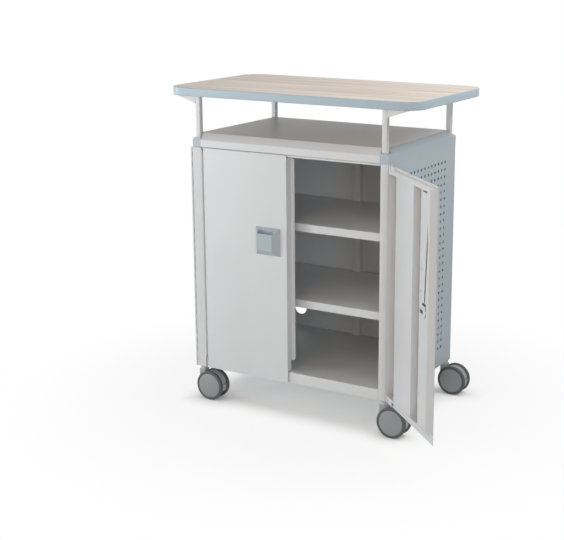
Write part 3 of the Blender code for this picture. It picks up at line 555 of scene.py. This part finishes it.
# Melamine laminate with a printed ash grain, pressed to a satin face. The grain runs along the worktop:
# bands about 30 mm wide and fibres about 6 mm wide, both long drawn.
laminate = bpy.data.materials.new("pale_ash_laminate")
laminate.use_nodes = True
tree = laminate.node_tree
shader = tree.nodes["Principled BSDF"]
where = add_node(tree, "ShaderNodeTexCoord", {}).outputs["Object"]
bands_at = add_node(tree, "ShaderNodeMapping",
                    {"Vector": where, "Scale": (1 / GRAIN_BANDS[0], 1 / GRAIN_BANDS[1], 1.0)})
bands = add_node(tree, "ShaderNodeTexNoise",
                 {"Vector": bands_at.outputs["Vector"], "Scale": 1.0, "Detail": 4.0, "Distortion": 0.4})
fibres_at = add_node(tree, "ShaderNodeMapping",
                     {"Vector": where, "Scale": (1 / GRAIN_FIBRES[0], 1 / GRAIN_FIBRES[1], 1.0)})
fibres = add_node(tree, "ShaderNodeTexNoise",
                  {"Vector": fibres_at.outputs["Vector"], "Scale": 1.0, "Detail": 3.0})
band_share = add_node(tree, "ShaderNodeMapRange",
                      {0: bands.outputs["Fac"], 1: BAND_CONTRAST[0], 2: BAND_CONTRAST[1]})
fibre_share = add_node(tree, "ShaderNodeMapRange",
                       {0: fibres.outputs["Fac"], 1: FIBRE_CONTRAST[0], 2: FIBRE_CONTRAST[1]})
broad = add_node(tree, "ShaderNodeMix",
                 {0: band_share.outputs[0], 6: linear("#F1EBE4"), 7: linear("#CBC1B7")}, data_type="RGBA")
fine = add_node(tree, "ShaderNodeMix",
                {0: fibre_share.outputs[0], 6: linear("#FFFFFF"), 7: linear("#E6DED6")}, data_type="RGBA")
wood = add_node(tree, "ShaderNodeMix", {0: 1.0, 6: broad.outputs[2], 7: fine.outputs[2]}, data_type="RGBA",
                blend_type="MULTIPLY")
tree.links.new(wood.outputs[2], shader.inputs["Base Color"])
shader.inputs["Roughness"].default_value = 0.5
shader.inputs["IOR"].default_value = 1.5

# Blue-grey ABS edging, extruded and buffed: satin, with a faint grain drawn at 4 mm.
edge_abs = coat("blue_grey_abs_edging", "#AFBFC9", "#A9B9C3", 0.4, 4.0, 0.04)


def worktop_ring(inset, z):
    """The worktop's outline at a level, moved in from its edge."""
    limits = [(-half + inset, half - inset) for half in TOP_HALF]
    return [(a, b, z) for a, b in rounded(*limits, TOP_R - inset, TOP_STEPS)]


bm = bmesh.new()
skin_over(bm, [worktop_ring(BAND + GAP, z) for z in (TOP_UNDER, HEIGHT - FACE_SINK)], False)
dress("laminated_board", bm, laminate, "cabinet", "laminate", "worktop_panel")

band_section = [(BAND, TOP_UNDER)] + [(inset, TOP_UNDER + rise) for inset, rise in BAND_ROUND]
band_section += [(inset, HEIGHT - rise) for inset, rise in reversed(BAND_ROUND)] + [(BAND, HEIGHT)]
bm = bmesh.new()
skin_over(bm, [worktop_ring(inset, z) for inset, z in band_section], True)
dress("worktop_edging", bm, edge_abs, "cabinet", "edge_blue", "worktop_edge_band")


# Hinges: two continuous hinges as high as the doors, with knuckles 16 mm long rolled by turns from the leaf
# on the cabinet's side and from the leaf behind the door's edge, over one steel pin.
AXIS = (0.368, -0.244)
DOOR_Z = (0.114, 0.872)
BARREL_R, ROLL_REACH = 0.0040, 0.008
FIXED_ROLL, MOVING_ROLL, ROLL_STEPS = (165, 475), (15, 325), 24
FIXED_LEAF = [(-0.0075, 0.028), (-0.0075, 0.004)]
MOVING_LEAF = [(0.038, 0.0018), (0.0085, 0.0018)]
KNUCKLES = 47
OPEN_TURN = {"left": 0.0, "right": 137.8}
DRAW_MARKS = (0.001, 0.001, 0.05)

# Zinc-plated steel wire: bright, with draw marks 1 mm wide and 50 mm long that spread its highlights.
zinc = bpy.data.materials.new("zinc_plated_steel")
zinc.use_nodes = True
tree = zinc.node_tree
shader = tree.nodes["Principled BSDF"]
where = add_node(tree, "ShaderNodeTexCoord", {}).outputs["Object"]
drawn_at = add_node(tree, "ShaderNodeMapping", {"Vector": where, "Scale": [1 / size for size in DRAW_MARKS]})
drawn = add_node(tree, "ShaderNodeTexNoise", {"Vector": drawn_at.outputs["Vector"], "Scale": 1.0})
tone = add_node(tree, "ShaderNodeMix", {0: drawn.outputs["Fac"], 6: linear("#B9BBBC"), 7: linear("#A5A8A9")},
                data_type="RGBA")
tree.links.new(tone.outputs[2], shader.inputs["Base Color"])
shader.inputs["Metallic"].default_value = 1.0
shader.inputs["Roughness"].default_value = 0.35

pitch = (DOOR_Z[1] - DOOR_Z[0]) / KNUCKLES
hinge_z = []
for k in range(KNUCKLES):
    hinge_z += [DOOR_Z[0] + k * pitch + GAP / 2, DOOR_Z[0] + (k + 1) * pitch - GAP / 2]
fixed_line = FIXED_LEAF + arc((0.0, 0.0), BARREL_R, *FIXED_ROLL, ROLL_STEPS)
moving_line = MOVING_LEAF + arc((0.0, 0.0), BARREL_R, *MOVING_ROLL, ROLL_STEPS)
door_at = {}


def knuckled(odd):
    """A test for a hinge leaf: metal all along its flat, and along its roll at every other knuckle."""
    def keep(a, b, z):
        step = (z - DOOR_Z[0]) / pitch
        on_knuckle = int(step) % 2 == odd and abs(step % 1 - 0.5) * pitch < pitch / 2 - GAP / 2
        return math.hypot(a, b) > ROLL_REACH or on_knuckle
    return keep


for side, sx in (("left", -1), ("right", 1)):
    hinge_at = Matrix.Translation((sx * AXIS[0], AXIS[1], 0.0))
    door_at[side] = hinge_at @ Matrix.Rotation(math.radians(OPEN_TURN[side]), 4, "Z")
    bm = bmesh.new()
    folded(bm, [(sx * a, b) for a, b in fixed_line], sx * SHEET, "z", hinge_z, knuckled(0))
    bm.transform(hinge_at)
    dress("cabinet_hinge_leaf_" + side, bm, grey_coat, "cabinet", "paint_grey", side + "_hinge_fixed_leaf")
    bm = bmesh.new()
    folded(bm, [(-sx * a, b) for a, b in moving_line], -sx * SHEET, "z", hinge_z, knuckled(1))
    bm.transform(door_at[side])
    dress("door_hinge_leaf_" + side, bm, grey_coat, side + "_door", "paint_grey", side + "_door_hinge_leaf")
    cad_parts[side + "_hinge_pin"].material_slots[0].material = zinc


# Doors: a steel skin with a pressed groove beside the hinge, and behind it a shallow pan with a turned-in
# lip. A hat section stiffens the middle, and a pierced channel along the free edge covers the latch rod.
# Places on a door are u from the hinge, t back from the skin's face and z; limits of a cut are u, u, z, z.
AXIS_T = 0.002
SKIN_U = (0.0045, 0.367)
GROOVE_U, GROOVE_T = (0.040, 0.046), 0.008
GROOVE_SIDE = 0.003
SKIN_FLAT = 0.00001
PAN_U = 0.0478
PAN_Z = (0.152, 0.864)
PAN_T = 0.026
PAN_LIP, HINGE_LIP = 0.0075, 0.003
BORE_U, BORE_T = (0.3542, 0.3598), (0.0082, 0.0138)
BORE_BELOW = 0.16
LINED = SHEET + GAP
WEB_T = PAN_T - LINED
STIFFENER_U = (0.1058, 0.242)
LATCH_U = (0.300, 0.3652)
INNER_Z = (PAN_Z[0] + LINED, PAN_Z[1] - LINED)
TAIL_SLOT = (0.3045, 0.3155, 0.5585, 0.5740)
TOP_SLOT, WINDOW = (0.314, 0.345, 0.8515, 0.858), (0.306, 0.329, 0.4995, 0.5115)
TEE_BAR, TEE_STEM = (0.3224, 0.3515, 0.5255, 0.5335), (0.3455, 0.3515, 0.5124, 0.5235)
DASH, SLIT = (0.3455, 0.3515, 0.4944, 0.5064), (0.353, 0.356, 0.5355, 0.765)
LATCH_CUTS = [TOP_SLOT, WINDOW, TEE_BAR, TEE_STEM, DASH, SLIT]
# The slit is leant and widened: at each level, the places of its two sides.
SLIT_LINE = [(SLIT[2], 0.336, 0.3435), (0.707, 0.348, 0.3565), (SLIT[3], 0.3545, 0.3575)]
RIVETS = [(0.3128, 0.6307), (0.3108, 0.5635)]
RIVET_HEAD = [(0.0045, -0.0004), (0.0045, 0.0016), (0.0038, 0.0026), (0.0010, 0.0030)]
RIVET_SIDES = 20
LAP_U, LAP_Z, LAP_CUT = (0.347, 0.381), (0.187, 0.862), 0.006


def skin_cell(u, t, z):
    """Whether the skin has metal here: not over the groove's ends, nor in the slot for the handle's tail."""
    by_groove = GROOVE_U[0] - GROOVE_SIDE < u < GROOVE_U[1] + GROOVE_SIDE
    at_groove = by_groove and (t > SKIN_FLAT or GROOVE_U[0] < u < GROOVE_U[1])
    in_slot = TAIL_SLOT[0] < u < TAIL_SLOT[1] and TAIL_SLOT[2] < z < TAIL_SLOT[3]
    return not in_slot and not (at_groove and not PAN_Z[0] < z < PAN_Z[1])


def latch_cell(u, z):
    """Whether the latch channel has metal here."""
    return not any(u0 < u < u1 and z0 < z < z1 for u0, u1, z0, z1 in LATCH_CUTS)


def leaned(u, z):
    """Where a point of the latch channel goes when the long slit is leant."""
    for (z0, far0, near0), (z1, far1, near1) in zip(SLIT_LINE, SLIT_LINE[1:]):
        if z0 - GAP < z < z1 + GAP:
            share = (z - z0) / (z1 - z0)
            places = [(LATCH_U[0], LATCH_U[0]), (SLIT[0], far0 + (far1 - far0) * share),
                      (SLIT[1], near0 + (near1 - near0) * share), (LATCH_U[1], LATCH_U[1])]
            for (a, a_to), (b, b_to) in zip(places, places[1:]):
                if a <= u <= b:
                    return a_to + (b_to - a_to) * (u - a) / (b - a)
    return u


def on_door(points, s):
    """Places u and t on a door as its own x and y."""
    return [(s * u, t - AXIS_T) for u, t in points]


skin_line = [(SKIN_U[0], 0.0), (GROOVE_U[0], 0.0), (GROOVE_U[0], GROOVE_T), (GROOVE_U[1], GROOVE_T),
             (GROOVE_U[1], 0.0), (TAIL_SLOT[0], 0.0), (TAIL_SLOT[1], 0.0), (SKIN_U[1], 0.0)]
skin_z = [DOOR_Z[0], PAN_Z[0], TAIL_SLOT[2], TAIL_SLOT[3], PAN_Z[1], DOOR_Z[1]]
pan_wall = [(0.0, LINED), (0.0, BORE_T[0]), (0.0, BORE_T[1]), (0.0, PAN_T), (PAN_LIP, PAN_T)]
pan_fold = bent(pan_wall, -SHEET)
pan_section = pan_fold + beside(pan_fold, -SHEET)[::-1]
hat_line = [(STIFFENER_U[0], LINED), (STIFFENER_U[0], WEB_T), (STIFFENER_U[1], WEB_T),
            (STIFFENER_U[1], LINED)]
latch_line = [(LATCH_U[0], LINED), (LATCH_U[0], WEB_T)]
latch_line += [(u, WEB_T) for u in sorted({u for cut in LATCH_CUTS for u in cut[:2]})]
latch_line += [(LATCH_U[1], WEB_T), (LATCH_U[1], LINED)]
cut_levels = sorted({z for cut in LATCH_CUTS for z in cut[2:]} | {z for z, far, near in SLIT_LINE})
for side, s in (("left", 1), ("right", -1)):
    bm = bmesh.new()
    folded(bm, on_door(skin_line, s), s * SHEET, "z", skin_z,
           lambda x, y, z: skin_cell(abs(x), y + AXIS_T, z))
    bm.transform(door_at[side])
    dress("door_face_" + side, bm, grey_coat, side + "_door", "paint_grey", side + "_door_skin")

    loops = []
    for inset, t in pan_section:
        u = (PAN_U + min(inset, HINGE_LIP), *BORE_U, SKIN_U[1] - inset)
        z = (PAN_Z[0] + inset, PAN_Z[1] - inset)
        ring = ((u[0], z[0]), (u[1], z[0]), (u[2], z[0]), (u[3], z[0]), (u[3], z[1]), (u[0], z[1]))
        loops.append([(s * a, t - AXIS_T, b) for a, b in ring])
    bm = bmesh.new()
    skin_over(bm, loops, True)
    bored = []
    for face in bm.faces:
        x, y, z = face.calc_center_median()
        if BORE_U[0] < abs(x) < BORE_U[1] and BORE_T[0] < y + AXIS_T < BORE_T[1] and z < BORE_BELOW:
            bored.append(face)
    bmesh.ops.delete(bm, geom=bored, context="FACES_ONLY")
    bmesh.ops.bridge_loops(bm, edges=[edge for edge in bm.edges if edge.is_boundary])
    bm.transform(door_at[side])
    dress("door_tray_" + side, bm, grey_coat, side + "_door", "paint_grey", side + "_door_pan")

    bm = bmesh.new()
    folded(bm, on_door(hat_line, s), -s * SHEET, "z", INNER_Z)
    bm.transform(door_at[side])
    dress("door_hat_" + side, bm, grey_coat, side + "_door", "paint_grey", side + "_door_stiffener")

    bm = bmesh.new()
    folded(bm, on_door(latch_line, s), -s * SHEET, "z", [INNER_Z[0], *cut_levels, INNER_Z[1]],
           lambda x, y, z: latch_cell(abs(x), z))
    for vert in bm.verts:
        vert.co.x = s * leaned(s * vert.co.x, vert.co.z)
    for u, z in RIVETS:
        head = [(r, WEB_T - AXIS_T + rise) for r, rise in RIVET_HEAD]
        turned(bm, head, (s * u, z), "y", RIVET_SIDES, False)
    bm.transform(door_at[side])
    dress("latch_cover_" + side, bm, grey_coat, side + "_door", "paint_grey", side + "_door_latch_channel")
    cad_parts[side + "_latch_rod"].material_slots[0].material = zinc

# The left door also carries a flat strip that laps behind the right door where the two meet.
lap = [(LAP_U[0], LAP_Z[0]), (LAP_U[1] - LAP_CUT, LAP_Z[0]), (LAP_U[1], LAP_Z[0] + LAP_CUT),
       (LAP_U[1], LAP_Z[1] - LAP_CUT), (LAP_U[1] - LAP_CUT, LAP_Z[1]), (LAP_U[0], LAP_Z[1])]
bm = bmesh.new()
skin_over(bm, [[(u, t - AXIS_T, z) for u, z in lap] for t in (PAN_T + GAP, PAN_T + GAP + SHEET)], False)
bm.transform(door_at["left"])
dress("meeting_strip", bm, grey_coat, "left_door", "paint_grey", "left_door_astragal")


# Handles: a square bevelled surround moulded in blue-grey nylon, with a scooped finger pocket at its top. The
# flat paddle in it pivots near its foot, and its tail goes through the door to lift the latch rod.
HANDLE = (0.2965, 0.586)
HANDLE_HALF, HANDLE_FLAT = 0.0455, 0.028
HANDLE_DEPTH, HANDLE_EDGE = 0.023, 0.003
HANDLE_ROUND, PADDLE_ROUND = 0.0006, 0.0005
POCKET_TOP = 0.042
POCKET_T = -0.006
POCKET_SIDE = 0.0001
PIVOT = (-0.017, -0.0235)
PIVOT_R, PIVOT_HALF, PIVOT_SIDES = 0.002, 0.0325, 20
TAIL_U = (0.306, 0.314)
TAIL_Z = (0.5595, 0.5655)
TAIL_T = -0.018
ARM_U, ARM_T = 0.350, (0.008, 0.014)
SQUARE = ((-1, -1), (1, -1), (1, 1), (-1, 1))
SLOPE = (HANDLE_DEPTH - HANDLE_EDGE) / (HANDLE_HALF - HANDLE_FLAT)
RIM_T = -HANDLE_EDGE - SLOPE * (HANDLE_HALF - POCKET_TOP)

# Sections carried across the handle, as t and z from its middle: the pocket's scooped wall, the lip of the
# surround over the paddle's foot, and the paddle's plate. The tail is a plan, as u and t.
SCOOP = [(RIM_T + 0.0006, POCKET_TOP), (POCKET_T - 0.0009, 0.038), (POCKET_T - 0.0002, 0.033),
         (POCKET_T, 0.027), (POCKET_T, 0.010), (POCKET_T + 0.0012, 0.010), (POCKET_T + 0.0012, 0.027),
         (POCKET_T + 0.0010, 0.034), (POCKET_T + 0.0004, 0.039), (RIM_T + 0.0020, POCKET_TOP)]
FOOT_LIP = [(-0.0232, -0.0246), (-0.0236, -0.0246), (-0.0236, -0.0274), (-0.0226, -0.0284),
            (-0.0200, -0.0284), (-0.0200, -0.0281), (-0.0232, -0.0281)]
PLATE = [(-HANDLE_DEPTH, -0.0257), (-0.020, -0.0267), (PIVOT[0], -0.0271), (PIVOT[0], HANDLE_FLAT),
         (-HANDLE_DEPTH, HANDLE_FLAT)]
TAIL = [(TAIL_U[0], TAIL_T), (TAIL_U[1], TAIL_T), (TAIL_U[1], ARM_T[0]), (ARM_U, ARM_T[0]), (ARM_U, ARM_T[1]),
        (TAIL_U[0], ARM_T[1])]

# Blue-grey glass-filled nylon, moulded: matt, with a faint grain drawn at 3 mm.
handle_nylon = coat("blue_grey_handle_nylon", "#AEBAC1", "#A8B4BB", 0.45, 3.0, 0.05)


def on_handle(s, u, t, z):
    """A place from the handle's middle as the door's own x, y and z."""
    return s * (HANDLE[0] + u), t - AXIS_T, HANDLE[1] + z


def across_handle(bm, section, half, s):
    """A section of t and z carried across the handle."""
    skin_over(bm, [[on_handle(s, u, t, z) for t, z in section] for u in (-half, half)], False)


for side, s in (("left", 1), ("right", -1)):
    bm = bmesh.new()
    back = [bm.verts.new(on_handle(s, a * HANDLE_HALF, -GAP, b * HANDLE_HALF)) for a, b in SQUARE]
    edge = [bm.verts.new(on_handle(s, a * HANDLE_HALF, -HANDLE_EDGE, b * HANDLE_HALF)) for a, b in SQUARE]
    front = [bm.verts.new(on_handle(s, a * HANDLE_FLAT, -HANDLE_DEPTH, b * HANDLE_FLAT)) for a, b in SQUARE]
    rim = [bm.verts.new(on_handle(s, a * HANDLE_FLAT, RIM_T, POCKET_TOP)) for a in (1, -1)]
    inner = [bm.verts.new(on_handle(s, a * HANDLE_FLAT, -GAP, -HANDLE_FLAT if b < 0 else POCKET_TOP))
             for a, b in SQUARE]
    for i in range(4):
        j = (i + 1) % 4
        bm.faces.new((back[i], back[j], edge[j], edge[i]))
        bm.faces.new((back[i], back[j], inner[j], inner[i]))
        if i != 2:
            bm.faces.new((edge[i], edge[j], front[j], front[i]))
    bm.faces.new((edge[2], rim[0], front[2]))
    bm.faces.new((edge[2], edge[3], rim[1], rim[0]))
    bm.faces.new((edge[3], front[3], rim[1]))
    bm.faces.new((front[0], front[1], inner[1], inner[0]))
    bm.faces.new((front[1], front[2], rim[0], inner[2], inner[1]))
    bm.faces.new((rim[0], rim[1], inner[3], inner[2]))
    bm.faces.new((front[0], inner[0], inner[3], rim[1], front[3]))
    soften(bm, HANDLE_ROUND, 2)
    across_handle(bm, SCOOP, HANDLE_FLAT - POCKET_SIDE, s)
    across_handle(bm, FOOT_LIP, HANDLE_FLAT - POCKET_SIDE, s)
    bm.transform(door_at[side])
    dress("handle_surround_" + side, bm, handle_nylon, side + "_door", "handle_blue", side + "_handle_bezel")

    bm = bmesh.new()
    across_handle(bm, PLATE, HANDLE_FLAT - GAP, s)
    soften(bm, PADDLE_ROUND, 2)
    skin_over(bm, [[(s * u, t - AXIS_T, z) for u, t in TAIL] for z in TAIL_Z], False)
    pivot_ends = (s * HANDLE[0] - PIVOT_HALF, s * HANDLE[0] + PIVOT_HALF)
    turned(bm, [(PIVOT_R, end) for end in pivot_ends], (PIVOT[0] - AXIS_T, HANDLE[1] + PIVOT[1]), "x",
           PIVOT_SIDES, False)
    bm.transform(door_at[side])
    dress("handle_paddle_face_" + side, bm, handle_nylon, side + "_paddle", "handle_blue",
          side + "_handle_paddle")


# Stage: a plain pale floor that fades to white away from the cabinet and keeps its shadow. Where a wheel or
# an edge stands close over it, an occlusion test lets less white through: painted shade that deepens the
# shadow there. A white surround, soft lamps and the camera go with it.
FLOOR_HALF = 6
FOOTPRINT = (0.36, 0.25, 0.0)
FADE_EDGE, FADE_SHARE = (-0.06, 0.07), (0.35, 0.85)
FADE_FAR = (0.4, 1.2)
CONTACT = 0.08
WHITE = (1.0, 1.0, 1.0, 1.0)
SURROUND_TINT, SURROUND_LIGHT = (1.0, 0.90, 0.82, 1.0), 0.01


def looked_at(tree):
    """Whether a ray comes from the camera, straight or by way of a shiny or clear surface."""
    path = add_node(tree, "ShaderNodeLightPath", {})
    seen = add_node(tree, "ShaderNodeMath",
                    {0: path.outputs["Is Camera Ray"], 1: path.outputs["Is Glossy Ray"]}, operation="MAXIMUM")
    seen = add_node(tree, "ShaderNodeMath", {0: seen.outputs[0], 1: path.outputs["Is Transmission Ray"]},
                    operation="MAXIMUM")
    return seen.outputs[0]


scene = bpy.context.scene
scene.view_settings.view_transform = "Standard"

floor_mesh = bpy.data.meshes.new("studio_floor")
floor_mesh.from_pydata([(a * FLOOR_HALF, b * FLOOR_HALF, 0) for a, b in SQUARE], [], [(0, 1, 2, 3)])
studio_floor = bpy.data.objects.new("studio_floor", floor_mesh)
scene.collection.objects.link(studio_floor)
matt = bpy.data.materials.new("matt_white_floor")
matt.use_nodes = True
tree = matt.node_tree
tree.nodes.clear()
where = add_node(tree, "ShaderNodeTexCoord", {}).outputs["Object"]
reach = add_node(tree, "ShaderNodeVectorMath", {0: where}, operation="ABSOLUTE")
beyond = add_node(tree, "ShaderNodeVectorMath", {0: reach.outputs[0], 1: FOOTPRINT}, operation="SUBTRACT")
parts = add_node(tree, "ShaderNodeSeparateXYZ", {0: beyond.outputs[0]})
apart = add_node(tree, "ShaderNodeMath", {0: parts.outputs[0], 1: parts.outputs[1]}, operation="MAXIMUM")
near = add_node(tree, "ShaderNodeMapRange",
                {0: apart.outputs[0], 1: FADE_EDGE[0], 2: FADE_EDGE[1], 3: FADE_SHARE[0], 4: FADE_SHARE[1]},
                interpolation_type="SMOOTHSTEP")
centre = add_node(tree, "ShaderNodeVectorMath", {0: where}, operation="LENGTH")
far = add_node(tree, "ShaderNodeMapRange", {0: centre.outputs["Value"], 1: FADE_FAR[0], 2: FADE_FAR[1]},
               interpolation_type="SMOOTHSTEP")
fade = add_node(tree, "ShaderNodeMix", {0: far.outputs[0], 2: near.outputs[0], 3: 1.0})
# Painted contact shade: the white share is cut wherever an occlusion test finds something within CONTACT of
# the floor.
painted_contact_shade = add_node(tree, "ShaderNodeAmbientOcclusion", {"Distance": CONTACT}, samples=8)
fade = add_node(tree, "ShaderNodeMath", {0: fade.outputs[0], 1: painted_contact_shade.outputs["AO"]},
                operation="MULTIPLY")
share = add_node(tree, "ShaderNodeMath", {0: looked_at(tree), 1: fade.outputs[0]}, operation="MULTIPLY")
dull = add_node(tree, "ShaderNodeBsdfDiffuse", {"Color": linear("#F4F5F5")})
white = add_node(tree, "ShaderNodeEmission", {"Color": WHITE, "Strength": 1.0})
mixed = add_node(tree, "ShaderNodeMixShader", {0: share.outputs[0], 1: dull.outputs[0], 2: white.outputs[0]})
add_node(tree, "ShaderNodeOutputMaterial", {"Surface": mixed.outputs[0]})
floor_mesh.materials.append(matt)

world = bpy.data.worlds.new("white_surround")
world.use_nodes = True
scene.world = world
tree = world.node_tree
tree.nodes.clear()
soft = add_node(tree, "ShaderNodeBackground", {"Color": SURROUND_TINT, "Strength": SURROUND_LIGHT})
plain = add_node(tree, "ShaderNodeBackground", {"Color": WHITE, "Strength": 1.0})
mixed = add_node(tree, "ShaderNodeMixShader", {0: looked_at(tree), 1: soft.outputs[0], 2: plain.outputs[0]})
add_node(tree, "ShaderNodeOutputWorld", {"Surface": mixed.outputs[0]})


def lamp(name, at, towards, size, watts, tint):
    """A soft square lamp."""
    light = bpy.data.lights.new(name, "AREA")
    light.shape = "SQUARE"
    light.size = size
    light.energy = watts
    light.color = tint
    thing = bpy.data.objects.new(name, light)
    thing.location = at
    thing.rotation_euler = (Vector(towards) - Vector(at)).to_track_quat("-Z", "Y").to_euler()
    scene.collection.objects.link(thing)


FRESH, PLAIN, WARM = (0.86, 0.95, 1.0), (1.0, 0.99, 0.97), (1.0, 0.80, 0.66)
lamp("overhead_softbox", (0.0, 0.0, 3.4), (0.0, 0.0, 0.0), 2.4, 23.0, PLAIN)
lamp("near_right_softbox", (1.4, 0.3, 2.1), (0.36, 0.0, 0.7), 0.9, 17.5, PLAIN)
lamp("front_right_softbox", (3.0, -2.8, 1.4), (0.0, 0.0, 0.5), 1.6, 34.0, FRESH)
lamp("key_softbox", (-2.4, -2.6, 0.9), (0.0, 0.0, 0.6), 1.2, 38.5, FRESH)
lamp("left_softbox", (-3.4, -1.0, 1.0), (0.0, 0.0, 0.6), 1.2, 32.0, FRESH)
lamp("front_softbox", (0.2, -3.2, 3.0), (0.0, 0.0, 0.5), 1.6, 20.0, WARM)
lamp("camera_softbox", (1.6, -3.6, 1.6), (0.0, 0.0, 0.5), 1.6, 18.0, WARM)

# The camera, fitted to the photograph: its focal length and the middle of its view are in pixels.
PHOTO = (564, 540)
FOCAL_PX = 1224.7
MIDDLE_PX = (326.77, 255.85)
SENSOR_MM = 36.0
CAMERA_AT = (2.0224, -3.4984, 1.4924)
CAMERA_DIP, CAMERA_TURN = 13.88, 29.96
camera_data = bpy.data.cameras.new("camera")
camera_data.sensor_fit = "HORIZONTAL"
camera_data.sensor_width = SENSOR_MM
camera_data.lens = SENSOR_MM * FOCAL_PX / PHOTO[0]
camera_data.shift_x = (PHOTO[0] / 2 - MIDDLE_PX[0]) / PHOTO[0]
camera_data.shift_y = (MIDDLE_PX[1] - PHOTO[1] / 2) / PHOTO[0]
camera = bpy.data.objects.new("camera", camera_data)
camera.location = CAMERA_AT
camera.rotation_euler = (math.radians(90 - CAMERA_DIP), 0.0, math.radians(CAMERA_TURN))
scene.collection.objects.link(camera)
scene.camera = camera
